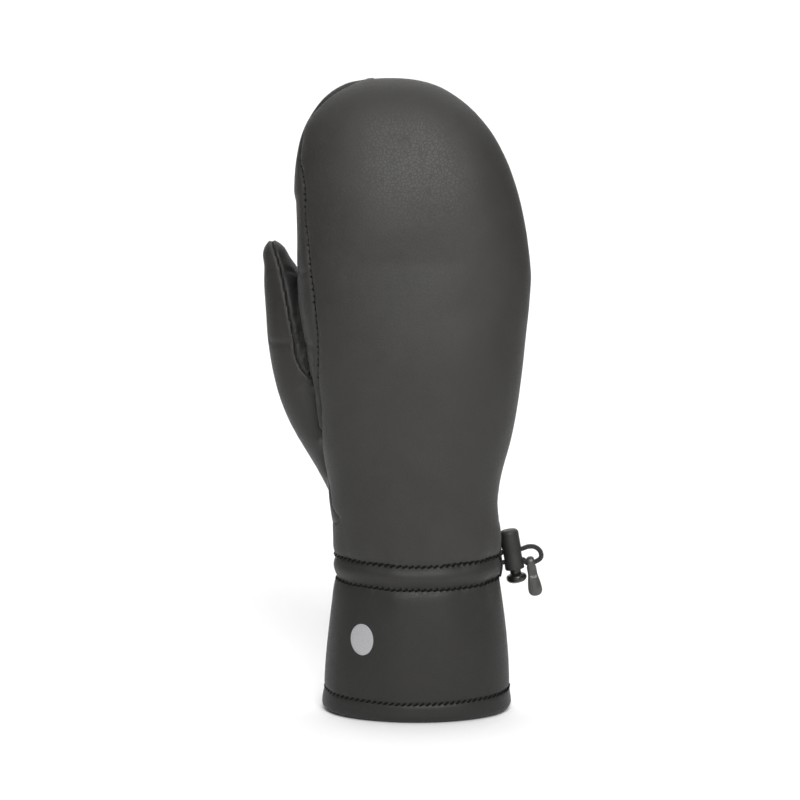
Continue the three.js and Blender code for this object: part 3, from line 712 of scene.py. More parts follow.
class Finish:
    """A material made of nodes."""

    def __init__(self, name):
        self.material = bpy.data.materials.new(name)
        self.material.use_nodes = True
        self.tree = self.material.node_tree
        self.tree.nodes.clear()
        self.output = self.tree.nodes.new("ShaderNodeOutputMaterial")

    def node(self, kind, settings=None, *values, out=0, **named):
        """A node of a kind, with its settings, and values or links for its sockets."""
        made = self.tree.nodes.new(kind)
        for key, value in (settings or {}).items():
            setattr(made, key, value)
        pairs = list(enumerate(values)) + [(k.replace("_", " "), v) for k, v in named.items()]
        for key, value in pairs:
            self.feed(made.inputs[key], value)
        return Socket(self, made.outputs[out])

    def feed(self, socket, value):
        """Links or sets an input."""
        if isinstance(value, Socket):
            self.tree.links.new(value.out, socket)
        elif value is not None:
            socket.default_value = value

    def place(self, scale=(1, 1, 1)):
        """A point of the piece, stretched."""
        spot = self.node("ShaderNodeTexCoord", out="Object")
        return self.node("ShaderNodeMapping", {}, spot, (0, 0, 0), (0, 0, 0), scale)

    def noise(self, scale, detail=2.0, roughness=0.5, where=None):
        return self.node(
            "ShaderNodeTexNoise", {}, where or self.place(), Scale=scale, Detail=detail, Roughness=roughness
        )

    def cells(self, scale, feature="F1"):
        return self.node("ShaderNodeTexVoronoi", {"feature": feature}, self.place(), Scale=scale)

    def mix(self, factor, a, b):
        """Two colours mixed."""
        made = self.node("ShaderNodeMix", {"data_type": "RGBA"}, factor, out=2)
        for key, value in ((6, a), (7, b)):
            self.feed(made.out.node.inputs[key], value if isinstance(value, Socket) else (*value[:3], 1.0))
        return made

    def bump(self, height, strength, distance, below=None):
        return self.node(
            "ShaderNodeBump", {}, Strength=strength, Distance=distance, Height=height, Normal=below
        )

    def surface(self, **sockets):
        shader = self.node("ShaderNodeBsdfPrincipled", {}, **sockets)
        self.tree.links.new(shader.out, self.output.inputs["Surface"])
        return self.material


def tint(colour, scale):
    return tuple(min(1.0, c * scale) for c in colour[:3])


def leather_finish(name, colour, shade):
    """Smooth finished leather with a faint tight grain."""
    f = Finish(name)
    broad = f.noise(14.0, 2.0)
    cloudy = f.noise(95.0, 3.0, 0.6)
    base = f.mix(broad.above(0.3, 0.7), tint(colour, 0.90 * shade), tint(colour, 1.08 * shade))
    base = f.mix(cloudy.above(0.35, 0.75) * 0.35, base, tint(colour, 1.22 * shade))
    pores = f.cells(1050.0, "F1")
    creases = f.cells(620.0, "DISTANCE_TO_EDGE")
    grain = f.noise(1900.0, 2.0)
    base = f.mix((1 - pores.above(0.0, 0.28)) * 0.30, base, tint(colour, 0.55 * shade))
    height = creases.above(0.0, 0.16) * 0.6 + grain * 0.35 + pores.above(0.0, 0.35) * 0.35
    fine = f.bump(height, 0.20, 0.00012)
    waves = f.bump(f.noise(60.0, 2.0), 0.16, 0.0012, fine)
    rough = 0.43 + cloudy * 0.10 + (1 - creases.above(0.0, 0.2)) * 0.10
    return f.surface(Base_Color=base, Roughness=rough, Normal=waves, Specular_IOR_Level=0.3)


def fleece_finish(name, colour):
    """Brushed pile in small curls."""
    f = Finish(name)
    curls = f.cells(520.0, "SMOOTH_F1")
    fuzz = f.noise(1400.0, 4.0, 0.7)
    base = f.mix(curls.above(0.1, 0.75), tint(colour, 1.9), tint(colour, 0.55))
    base = f.mix(fuzz.above(0.45, 0.75) * 0.5, base, tint(colour, 2.6))
    bump = f.bump(1 - curls + fuzz * 0.6, 0.8, 0.0011)
    return f.surface(Base_Color=base, Roughness=0.95 + fuzz * 0.05, Normal=bump, Sheen_Weight=0.5, Sheen_Roughness=0.6)


def wadding_finish(name):
    """Lofted fibre filling."""
    f = Finish(name)
    fibres = f.noise(900.0, 5.0, 0.75, f.place((1.0, 1.0, 0.25)))
    tufts = f.noise(120.0, 3.0)
    base = f.mix(tufts.above(0.35, 0.7), (0.72, 0.70, 0.65), (0.86, 0.85, 0.81))
    base = f.mix(fibres.above(0.5, 0.75) * 0.6, base, (0.93, 0.92, 0.9))
    bump = f.bump(fibres + tufts * 0.8, 0.7, 0.0012)
    return f.surface(Base_Color=base, Roughness=0.9 + fibres * 0.1, Normal=bump, Sheen_Weight=0.3)


def film_finish(name):
    """Thin waterproof film with small crinkles."""
    f = Finish(name)
    crinkle = f.cells(140.0, "DISTANCE_TO_EDGE")
    haze = f.noise(260.0, 3.0)
    base = f.mix(haze.above(0.3, 0.7), (0.018, 0.018, 0.019), (0.030, 0.030, 0.032))
    bump = f.bump(crinkle.above(0.0, 0.2) + haze * 0.3, 0.4, 0.0006)
    return f.surface(Base_Color=base, Roughness=0.3 + haze * 0.2, Normal=bump)


def thread_finish(name):
    """Bonded black thread, twisted."""
    f = Finish(name)
    twist = f.node("ShaderNodeTexWave", {"wave_type": "BANDS", "bands_direction": "DIAGONAL"},
                   f.place(), Scale=1500.0, Distortion=1.0)
    lint = f.noise(2600.0, 3.0)
    base = f.mix(twist.above(0.2, 0.9), (0.002, 0.002, 0.002), (0.008, 0.008, 0.008))
    base = f.mix(lint.above(0.6, 0.8) * 0.3, base, (0.02, 0.02, 0.02))
    return f.surface(Base_Color=base, Roughness=0.6 + lint * 0.2, Normal=f.bump(twist, 0.5, 0.0001),
                     Specular_IOR_Level=0.12)


def cord_finish(name):
    """Braided elastic cord: crossed yarns along the cord's own length."""
    f = Finish(name)
    run = f.node("ShaderNodeUVMap", {"uv_map": "run"})
    along = f.node("ShaderNodeSeparateXYZ", {}, run)
    across = Socket(f, along.out.node.outputs[1])
    one = along.math("SINE", along * 2800.0 + across * 25.13)
    two = along.math("SINE", along * 2800.0 - across * 25.13)
    braid = one * two
    lint = f.noise(2200.0, 3.0)
    base = f.mix(braid.above(-0.6, 0.7), (0.008, 0.008, 0.008), (0.03, 0.029, 0.028))
    base = f.mix(lint.above(0.55, 0.8) * 0.35, base, (0.06, 0.06, 0.058))
    return f.surface(Base_Color=base, Roughness=0.72 + lint * 0.2, Normal=f.bump(braid + lint * 0.4, 0.8, 0.00025),
                     Sheen_Weight=0.15)


def moulded_finish(name, colour, rough, grit, specks=0.35):
    """Moulded plastic or rubber: spark-eroded grain, with wear lightening it a little."""
    f = Finish(name)
    sand = f.noise(grit, 3.0, 0.6)
    cloud = f.noise(190.0, 2.0)
    base = f.mix(cloud.above(0.3, 0.7), tint(colour, 0.85), tint(colour, 1.2))
    base = f.mix(sand.above(0.55, 0.8) * specks, base, tint(colour, 2.1))
    return f.surface(Base_Color=base, Roughness=rough + sand * 0.14, Normal=f.bump(sand, 0.35, 0.00012))


def steel_finish(name):
    """Drawn spring wire."""
    f = Finish(name)
    lines = f.noise(1600.0, 3.0, 0.6, f.place((0.2, 0.2, 1.0)))
    base = f.mix(lines.above(0.3, 0.7), (0.36, 0.37, 0.39), (0.56, 0.57, 0.59))
    return f.surface(Base_Color=base, Metallic=1.0, Roughness=0.22 + lines * 0.2, Normal=f.bump(lines, 0.2, 0.00005))


def mark_finish(name, colour):
    """Retroreflective transfer film: fine glass beads in silver."""
    f = Finish(name)
    beads = f.cells(3200.0, "F1")
    wear = f.noise(420.0, 3.0)
    base = f.mix(beads.above(0.0, 0.6), tint(colour, 1.12), tint(colour, 0.80))
    base = f.mix(wear.above(0.62, 0.8) * 0.3, base, tint(colour, 0.62))
    return f.surface(Base_Color=base, Metallic=0.15, Roughness=0.36 + wear * 0.15, Normal=f.bump(beads, 0.25, 0.00008))


def floor_finish(name):
    """Matte white studio sweep."""
    f = Finish(name)
    soft = f.noise(3.0, 2.0)
    base = f.mix(soft.above(0.2, 0.8), (0.93, 0.93, 0.93), (0.955, 0.955, 0.955))
    return f.surface(Base_Color=base, Roughness=0.9 + soft * 0.05)


# How much each kind of leather darkens the leather's colour.
LEATHERS = {
    "shell_leather": 1.0,
    "side_leather": 0.96,
    # Painted shade: the inner thumb panel's leather is darkened to stand in for the shade where it faces away from the
    # light.
    "thumb_leather": 0.5,
    "casing_leather": 0.85,
    # Painted shade: the cuff's leather is darkened to stand in for the weaker light that reaches it low down.
    "cuff_leather": 0.68,
    "strap_leather": 0.6,
}
# Colour, roughness, grain and how much the specks show.
MOULDED = {
    "lock_plastic": ((0.014, 0.014, 0.013), 0.5, 2600.0),
    "knob_plastic": ((0.011, 0.010, 0.009), 0.22, 900.0, 0.1),
    "tab_rubber": ((0.05, 0.05, 0.048), 0.24, 1600.0, 0.2),
}
OTHERS = {
    "insulation": wadding_finish,
    "membrane": film_finish,
    "thread": thread_finish,
    "elastic_cord": cord_finish,
    "spring_steel": steel_finish,
    "floor": floor_finish,
}
MATERIALS = {}


def finish_of(name):
    """The material of a name, made when it is first asked for."""
    colours = bpy.context.scene.mitten_colours
    if name in MATERIALS:
        return MATERIALS[name]
    if name in LEATHERS:
        made = leather_finish(name, colours.leather, LEATHERS[name])
    elif name in MOULDED:
        made = moulded_finish(name, *MOULDED[name])
    elif name == "fleece":
        made = fleece_finish(name, colours.fleece)
    elif name == "reflective_film":
        made = mark_finish(name, colours.mark)
    else:
        made = OTHERS[name](name)
    MATERIALS[name] = made
    return made


def placed(obj, material, body, *nodes, finish=None):
    """Gives a finished piece its material, its body and the CAD nodes that it stands for."""
    obj.data.materials.clear()
    obj.data.materials.append(finish_of(finish or material))
    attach(obj, body)
    if nodes:
        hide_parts(*nodes)
    return obj


# ---------------------------------------------------------------- bands that go round the cuff and the wrist


def wobble(angle, height, size=0.45):
    """How far a row of stitching wanders up or down as it goes round, in millimetres."""
    angle = np.asarray(angle, float)
    flat = np.stack([np.cos(angle) * 1.6, np.sin(angle) * 1.6, np.full_like(angle, height * 0.37)], -1)
    return size * ripple(flat.reshape(-1, 3), 1.0).reshape(angle.shape) + 1.9 * np.cos(angle) ** 2


def stitch_wave(angle, height):
    """From 0 in the middle of each stitch of a row at a height, to 1 at its needle holes."""
    fine = np.linspace(0, 2 * math.pi, 721)
    line = form_points(np.full(721, height), fine, 0.0)
    run = run_of(line)
    count = int(run[-1] / bpy.context.scene.stitch_sizes.pitch)
    along = np.interp(np.mod(angle, 2 * math.pi), fine, run / run[-1])
    return 0.5 - 0.5 * np.cos(2 * math.pi * count * along), count


def gathers(angle, z, count=1.0):
    """Soft upright folds round the cuff, from -1 to 1."""
    angle, z = np.broadcast_arrays(np.asarray(angle, float), np.asarray(z, float))
    flat = np.stack([np.cos(angle) * 3.4 * count, np.sin(angle) * 3.4 * count, z * 0.02], -1)
    return ripple(flat.reshape(-1, 3), 1.0, 5.0).reshape(angle.shape)


def band(name, section, around, lift=None):
    """A closed band round the mitten. Section holds (inset, height) in millimetres, upwards on the outside. Lift gives
    how far each point stands out and up, from its angle, inset and height."""
    angle = np.linspace(0, 2 * math.pi, around, endpoint=False)
    inset, z = np.array(section, float).T
    zz, aa = np.meshgrid(z, angle, indexing="ij")
    ii = np.broadcast_to(inset[:, None], zz.shape)
    out, up = lift(aa, ii, zz) if lift else (0.0, 0.0)
    points = form_points(zz + up, aa, ii - out).reshape(-1, 3)
    return new_object(name, points, ring_faces(len(section), around, True))


def spaced(a, b, count):
    return [(a[0] + (b[0] - a[0]) * t, a[1] + (b[1] - a[1]) * t) for t in np.linspace(0, 1, count)]


def corner(middle, radius, start, end, count=7):
    turn = np.radians(np.linspace(start, end, count))
    return [(middle[0] - radius * math.cos(t), middle[1] + radius * math.sin(t)) for t in turn]


def bell(x, width):
    return np.exp(-(x / width) ** 2)


HEM_ROW = 8.5


def cuff_lift(angle, inset, z):
    """The cuff's swelling between its rows of stitching, and the sink along them."""
    sizes = bpy.context.scene.mitten_sizes
    puff, groove = sizes.puff * 1000, sizes.groove * 1000
    row = HEM_ROW + wobble(angle, HEM_ROW, 0.25)
    top = CASING_BOTTOM + wobble(angle, CASING_BOTTOM)
    wall = np.sin(np.pi * np.clip((z - row) / (top - row), 0, 1)) ** 0.7
    hem = np.sin(np.pi * np.clip(z / row, 0, 1)) ** 0.6
    out = puff * (0.5 * wall + 0.12 * hem) - 0.3 * groove * bell(z - row, 1.1) - 0.4 * groove * bell(z - top, 1.8)
    folds = gathers(angle, z)
    out = out + folds * (0.15 + 0.55 * bell(z - top, 9.0) + 0.22 * bell(z - row, 3.0))
    tucks = gathers(angle, z, 3.2)
    out = out + tucks * (0.22 * bell(z - top, 3.5) + 0.16 * bell(z - row, 2.4))
    out = out - 0.24 * stitch_wave(angle, HEM_ROW)[0] * bell(z - row, 0.8)
    out = out - 0.24 * stitch_wave(angle, CASING_BOTTOM)[0] * bell(z - top, 1.0)
    return np.where(inset > 3.0, 0.0, out), wobble(angle, CASING_BOTTOM) * bell(z - CASING_BOTTOM, 6.0)


def casing_lift(angle, inset, z):
    """The casing's bulge over the cord, with small tucks along both of its edges."""
    low = CASING_BOTTOM + wobble(angle, CASING_BOTTOM)
    high = CASING_TOP + wobble(angle, CASING_TOP)
    t = np.clip((z - CASING_BOTTOM) / (CASING_TOP - CASING_BOTTOM), 0, 1)
    swollen = np.clip((t - 0.08) / 0.84, 0, 1)
    swell = 1.95 * np.sin(np.pi * swollen ** 1.1) ** 0.9
    swell = swell - 0.24 * stitch_wave(angle, CASING_BOTTOM)[0] * bell(t, 0.12)
    swell = swell - 0.24 * stitch_wave(angle, CASING_TOP)[0] * bell(t - 1, 0.12)
    edges = bell(t, 0.24) + bell(t - 1, 0.24)
    tucks = gathers(angle, z, 3.2) * 0.24 * edges + gathers(angle, z) * (0.3 + 0.42 * edges)
    return swell + tucks, low + (high - low) * t - z


def lining_lift(angle, inset, z):
    soft = gathers(angle, z) * 0.5 + gathers(angle, z * 3, 2.6) * 0.25
    return np.where(inset > 8.5, -soft, 0.0), 0.0


# ---------------------------------------------------------------- stitches


def input_of(group, name):
    return next(i.identifier for i in group.interface.items_tree if i.name == name)


def stitch_nodes():
    """A tree that lays stitches at an even pitch along a line that carries its outward direction."""
    if "stitch_row" in bpy.data.node_groups:
        return bpy.data.node_groups["stitch_row"]
    group = bpy.data.node_groups.new("stitch_row", "GeometryNodeTree")
    group.interface.new_socket("Line", in_out="INPUT", socket_type="NodeSocketGeometry")
    for name, value in (("Pitch", 0.0028), ("Length", 0.0022), ("Thread", 0.00075), ("Slant", 0.2), ("Arch", 0.4)):
        socket = group.interface.new_socket(name, in_out="INPUT", socket_type="NodeSocketFloat")
        socket.default_value = value
    group.interface.new_socket("Material", in_out="INPUT", socket_type="NodeSocketMaterial")
    group.interface.new_socket("Stitches", in_out="OUTPUT", socket_type="NodeSocketGeometry")
    nodes, link = group.nodes, group.links.new
    given, result = nodes.new("NodeGroupInput"), nodes.new("NodeGroupOutput")

    def math_node(operation, a, b):
        made = nodes.new("ShaderNodeMath")
        made.operation = operation
        for socket, value in zip(made.inputs, (a, b)):
            if isinstance(value, bpy.types.NodeSocket):
                link(value, socket)
            else:
                socket.default_value = value
        return made.outputs[0]

    to_curve = nodes.new("GeometryNodeMeshToCurve")
    link(given.outputs["Line"], to_curve.inputs["Mesh"])
    even = nodes.new("GeometryNodeResampleCurve")
    even.mode = "LENGTH"
    link(to_curve.outputs["Curve"], even.inputs["Curve"])
    link(given.outputs["Pitch"], even.inputs["Length"])
    tangent = nodes.new("GeometryNodeInputTangent")
    keep_tangent = nodes.new("GeometryNodeCaptureAttribute")
    keep_tangent.capture_items.new("VECTOR", "Run")
    link(even.outputs["Curve"], keep_tangent.inputs["Geometry"])
    link(tangent.outputs["Tangent"], keep_tangent.inputs["Run"])
    to_points = nodes.new("GeometryNodeCurveToPoints")
    to_points.mode = "EVALUATED"
    link(keep_tangent.outputs["Geometry"], to_points.inputs["Curve"])

    half = math_node("MULTIPLY", given.outputs["Length"], 0.5)
    line = nodes.new("GeometryNodeCurvePrimitiveLine")
    ends = []
    for sign in (-1.0, 1.0):
        end = nodes.new("ShaderNodeCombineXYZ")
        link(math_node("MULTIPLY", half, sign), end.inputs[0])
        ends.append(end)
    link(ends[0].outputs[0], line.inputs["Start"])
    link(ends[1].outputs[0], line.inputs["End"])
    shaped = nodes.new("GeometryNodeResampleCurve")
    shaped.inputs["Count"].default_value = 7
    link(line.outputs["Curve"], shaped.inputs["Curve"])
    place = nodes.new("GeometryNodeInputPosition")
    split = nodes.new("ShaderNodeSeparateXYZ")
    link(place.outputs[0], split.inputs[0])
    share = math_node("DIVIDE", split.outputs[0], half)
    dip = math_node("MULTIPLY", math_node("POWER", math_node("ABSOLUTE", share, 0.0), 2.5), -1.0)
    lift = math_node("MULTIPLY", math_node("MULTIPLY", dip, given.outputs["Arch"]), given.outputs["Length"])
    offset = nodes.new("ShaderNodeCombineXYZ")
    link(lift, offset.inputs[2])
    bent = nodes.new("GeometryNodeSetPosition")
    link(shaped.outputs["Curve"], bent.inputs["Geometry"])
    link(offset.outputs[0], bent.inputs["Offset"])
    ring = nodes.new("GeometryNodeCurvePrimitiveCircle")
    ring.inputs["Resolution"].default_value = 6
    link(math_node("MULTIPLY", given.outputs["Thread"], 0.5), ring.inputs["Radius"])
    thread = nodes.new("GeometryNodeCurveToMesh")
    thread.inputs["Fill Caps"].default_value = True
    link(bent.outputs["Geometry"], thread.inputs["Curve"])
    link(ring.outputs["Curve"], thread.inputs["Profile Curve"])

    run = nodes.new("FunctionNodeAlignRotationToVector")
    run.axis = "X"
    link(keep_tangent.outputs["Run"], run.inputs["Vector"])
    outward = nodes.new("GeometryNodeInputNamedAttribute")
    outward.data_type = "FLOAT_VECTOR"
    outward.inputs["Name"].default_value = "outward"
    face = nodes.new("FunctionNodeAlignRotationToVector")
    face.axis, face.pivot_axis = "Z", "X"
    link(run.outputs[0], face.inputs["Rotation"])
    link(outward.outputs[0], face.inputs["Vector"])
    slant = nodes.new("FunctionNodeRotateRotation")
    slant.rotation_space = "LOCAL"
    turn = nodes.new("FunctionNodeAxisAngleToRotation")
    turn.inputs["Axis"].default_value = (0, 0, 1)
    link(given.outputs["Slant"], turn.inputs["Angle"])
    link(face.outputs[0], slant.inputs["Rotation"])
    link(turn.outputs[0], slant.inputs["Rotate By"])
    laid = nodes.new("GeometryNodeInstanceOnPoints")
    link(to_points.outputs["Points"], laid.inputs["Points"])
    link(thread.outputs["Mesh"], laid.inputs["Instance"])
    link(slant.outputs[0], laid.inputs["Rotation"])
    real = nodes.new("GeometryNodeRealizeInstances")
    link(laid.outputs["Instances"], real.inputs["Geometry"])
    smooth = nodes.new("GeometryNodeSetShadeSmooth")
    link(real.outputs["Geometry"], smooth.inputs["Geometry"])
    paint = nodes.new("GeometryNodeSetMaterial")
    link(smooth.outputs["Geometry"], paint.inputs["Geometry"])
    link(given.outputs["Material"], paint.inputs["Material"])
    link(paint.outputs["Geometry"], result.inputs["Stitches"])
    return group


def stitch_row(name, points, outward, closed, slant, pitch, arch=0.16):
    """A plain mesh of stitches along a line of points."""
    sizes = bpy.context.scene.stitch_sizes
    count = len(points)
    mesh = bpy.data.meshes.new(name)
    edges = [(k, (k + 1) % count) for k in range(count if closed else count - 1)]
    mesh.from_pydata([tuple(p) for p in points], edges, [])
    data = mesh.attributes.new("outward", "FLOAT_VECTOR", "POINT")
    data.data.foreach_set("vector", np.asarray(outward, float).ravel())
    obj = shown(name, mesh)
    lay = obj.modifiers.new("stitches", "NODES")
    lay.node_group = group = stitch_nodes()
    values = {"Pitch": pitch, "Length": sizes.length, "Thread": sizes.thread, "Slant": slant,
              "Arch": arch, "Material": finish_of("thread")}
    for key, value in values.items():
        lay[input_of(group, key)] = value
    return applied(obj, name)


# How far a row's thread stands out of the leather.
THREAD_RAISED = 0.00042


def level_row(name, height, lift, around=480, slant=0.5):
    """Stitches round the mitten at a height, on the surface that lift gives."""
    angle = np.linspace(0, 2 * math.pi, around, endpoint=False)
    z = np.full(around, height)
    out, up = lift(angle, np.zeros(around), z)
    points = form_points(z + up, angle, 0.0 - out)
    outward = unit(form_points(z, angle, -1.0) - form_points(z, angle, 0.0))
    length = np.linalg.norm(points - np.roll(points, -1, 0), axis=1).sum()
    pitch = length / stitch_wave(0.0, height)[1] * 0.9999
    return stitch_row(name, points + outward * THREAD_RAISED, outward, True, slant, pitch)


# ---------------------------------------------------------------- the hand's leather


def angle_of(p):
    """Where points in millimetres lie round the form, as the angle that form_points takes."""
    right, left, behind, front = reaches(np.clip(p[:, 2], 0, TIP - 0.5))
    x, y = p[:, 0] - LEAN_AT(p[:, 2]), p[:, 1] - CURL_AT(p[:, 2])
    n = SQUARE_AT(p[:, 2]) / 2
    c = np.sign(x) * np.abs(x / np.where(x > 0, right, left)) ** n
    s = np.sign(y) * np.abs(y / np.where(y > 0, front, behind)) ** n
    return np.arctan2(s, c)


def hand_lift(p, points, gap, spot, flat, pinched, wrist):
    """How far the leather stands out at points, from how near a seam they are, in millimetres. Flat seams lie in a
    thin crease, and pinched ones stand up as a ridge."""
    sizes = bpy.context.scene.mitten_sizes
    puff, groove = sizes.puff * 1000, sizes.groove * 1000
    x, y, z = p.T
    angle = angle_of(p)
    valley = -puff * bell(gap, 5.0) - groove * bell(gap, 0.9)
    crease = -0.3 * puff * bell(gap, 4.0) - 1.4 * groove * bell(gap, 1.0)
    crease = np.where(wrist, -0.2 * puff * bell(gap, 3.0) - 0.6 * groove * bell(gap, 0.9), crease)
    ridge = 0.75 * bell(gap, 2.0) - 0.75 * bell(gap, 0.5)
    out = np.where(pinched, ridge, np.where(flat, crease, valley)) * (0.25 + 0.75 * np.clip((z - 93) / 12, 0, 1))
    out += ripple(spot, 0.0042) * 0.2 * bell(gap, 3.2) + ripple(spot, 0.013, 3.0) * 0.3 * bell(gap, 7.0)
    out += ripple(spot, 0.0035, 6.0) * 0.5 * bell(gap, 4.0) * bell(z - 251, 6.0)
    side = np.clip((through(BACK_SEAM)(z) - x) / 1.5, 0, 1) * (y < 14)
    out -= 0.5 * side * (bell(z - 202, 1.3) + bell(z - 169, 1.3))
    top = CASING_TOP + wobble(angle, CASING_TOP)
    out += (0.55 * ripple(points, 0.055) + 0.2 * ripple(points, 0.021, 8.0)) * (1 - bell(z - top, 6.0))
    out -= 0.4 * groove * bell(z - top, 1.8)
    out += gathers(angle, z) * (0.15 + 0.6 * bell(z - top, 11.0)) * (z < 130)
    out += gathers(angle, z, 3.2) * 0.26 * bell(z - top, 3.6)
    return out - 0.22 * stitch_wave(angle, CASING_TOP)[0] * bell(z - top, 1.1)


def seams_at(points, faces, fields):
    """Cuts the skin along its seams and drops what lies below the casing's upper row."""
    for column in (5, 4, 0, 2, 1, 3):
        points, faces, fields = cut(points, faces, fields, column)
    faces = faces[fields[faces, 5].sum(1) > 0]
    return points, faces, labelled(fields, faces)


def chain(points, pairs, kinds, wanted, keep=None):
    """The seam between panels as points in order of height."""
    chosen = np.unique(pairs[[tuple(k) in wanted for k in kinds.tolist()]])
    if keep is not None:
        chosen = chosen[keep[chosen]]
    return chosen[np.argsort(points[chosen, 2])]


def make_hand():
    sizes = bpy.context.scene.mitten_sizes
    points, faces = body_skin(sizes.voxel)
    p = in_form(points)
    fields = seam_fields(p)
    fields[:, 5] -= wobble(angle_of(p), CASING_TOP)
    points, faces, label = seams_at(points, faces, fields)
    spots, kinds, pairs, pair_kinds = seam_points(points, faces, label)
    gap, which = distance_to(points, spots)
    kind = kinds[which]
    pinched = (kind == (THUMB_OUTER, THUMB_INNER)).all(1)
    creased = ((BACK, GUSSET), (BACK, THUMB_OUTER), (GUSSET, PALM), (GUSSET, THUMB_INNER))
    wrist = (kind == WRIST).any(1)
    flat = wrist | np.any([(kind == pair).all(1) for pair in creased], axis=0)
    normal = normals_of(points, faces)
    p = in_form(points)
    shaped = points + normal * hand_lift(p, points, gap * 1000, spots[which], flat, pinched, wrist)[:, None] * 0.001
    coarse, coarse_faces = body_skin(CLOTH_VOXEL, rounds=3)
    near, _ = distance_to(coarse, spots)
    low = in_form(coarse)[:, 2] < CASING_TOP + 3
    held = np.maximum(bell(near * 1000, 3.0), low * 1.0)
    move = inflated(coarse, coarse_faces, held, CLOTH_PRESSURE, CLOTH_CAP)
    move = calmed(move, coarse_faces, CLOTH_CALM) * CLOTH_SHARE
    shaped += carried(shaped, coarse, move)
    normal = normals_of(shaped, faces)
    made = [thick_panel(row[0], shaped, faces[label == k], normal, sizes.leather) for k, row in enumerate(PANELS)]
    for piece, (_, slot, finish, node) in zip(made, PANELS):
        placed(piece, slot, "mitten", node, finish=finish)

    whole = in_form(shaped)
    rows = (("back_seam_stitches", set(creased[:2]), (whole[:, 2] > 97) & (whole[:, 2] < 280)),
            ("gusset_seam_stitches", {(GUSSET, PALM)}, whole[:, 2] < 286),
            ("thumb_side_stitches", {(THUMB_OUTER, THUMB_INNER)}, (whole[:, 2] < 212) & (whole[:, 1] > 22)))
    for name, wanted, keep in rows:
        order = chain(shaped, pairs, pair_kinds, wanted, keep)
        line, out = shaped[order], normal[order]
        row = stitch_row(name, line + out * 0.00025, out, False, slant=1.15, pitch=0.0029, arch=0.05)
        placed(row, "thread", "mitten")


# ---------------------------------------------------------------- cuff, casing and their stitching


def make_cuff():
    t = bpy.context.scene.mitten_sizes.leather * 1000
    inside = 9.3
    section = (
        spaced((inside, 10.2), (inside, 2.2), 10)
        + corner((inside - 2.2, 2.2), -2.2, 0, -90)[1:]
        + spaced((inside - 2.4, 0.0), (3.2, 0.0), 8)
        + [(3.2 - 3.2 * math.sin(a), 3.2 - 3.2 * math.cos(a)) for a in np.radians(np.linspace(8, 90, 10))]
        + spaced((0.0, 3.6), (0.0, CASING_BOTTOM - 0.12), 120)
        + spaced((t, CASING_BOTTOM - 0.12), (t, 3.6), 40)
        + [(3.2 - (3.2 - t) * math.cos(a), 3.2 - (3.2 - t) * math.sin(a)) for a in np.radians(np.linspace(8, 90, 8))]
        + spaced((3.6, t), (inside - 2.4, t), 8)
        + [(inside - 2.2 + (2.2 - t) * math.sin(a), 2.2 - (2.2 - t) * math.cos(a))
           for a in np.radians(np.linspace(5, 90, 7))]
        + spaced((inside - t, 2.6), (inside - t, 10.2), 10)
    )
    cuff = band("leather_cuff", section, 420, cuff_lift)
    # The cuff's finish is the leather darkened as painted shade, standing in for the weaker light low on the mitten.
    placed(cuff, "shell_leather", "mitten", "cuff_panel", finish="cuff_leather")

    low, high = CASING_BOTTOM + 0.05, CASING_TOP - 0.05
    section = spaced((0.5, low), (0.5, high), 34) + spaced((1.4, high), (1.4, low), 34)
    casing = band("leather_casing", section, 420, casing_lift)
    slot = rounded_block("slot", (9.0, 7.6, 5.4), 2.0)
    slot.data.transform(Matrix.Translation(LOCK + Vector((-0.0085, 0.0, -0.0078))))
    casing = without(casing, slot, "leather_casing")
    placed(casing, "shell_leather", "mitten", "drawcord_casing", finish="casing_leather")

    rows = (("stitches_hem", "hem_stitching", HEM_ROW, 0.25, cuff_lift),
            ("stitches_casing_lower", "lower_casing_stitching", CASING_BOTTOM, 0.45, cuff_lift),
            ("stitches_casing_upper", "upper_casing_stitching", CASING_TOP, 0.45, upper_lift))
    for name, node, height, size, lift in rows:
        def on_row(angle, inset, z, height=height, size=size, lift=lift):
            up = wobble(angle, height, size)
            return lift(angle, inset, z + (up if lift is cuff_lift else 0))[0], up
        placed(level_row(name, height, on_row), "thread", "mitten", node)


def upper_lift(angle, inset, z):
    """Where the leather lies along the casing's upper row of stitching."""
    groove = bpy.context.scene.mitten_sizes.groove * 1000
    return gathers(angle, z) * 0.75 + gathers(angle, z, 3.2) * 0.26 - 0.4 * groove, 0.0


def rounded_block(name, size, radius):
    """A block of a size in millimetres, with rounded edges."""
    made = bpy.data.meshes.new(name)
    x, y, z = (v * 0.0005 for v in size)
    corners = [(a * x, b * y, c * z) for a in (-1, 1) for b in (-1, 1) for c in (-1, 1)]
    faces = [(0, 1, 3, 2), (4, 6, 7, 5), (0, 4, 5, 1), (2, 3, 7, 6), (0, 2, 6, 4), (1, 5, 7, 3)]
    made.from_pydata(corners, [], faces)
    obj = shown(name, made)
    bevel = obj.modifiers.new("edges", "BEVEL")
    bevel.width, bevel.segments = radius * 0.001, 4
    return applied(obj, name)


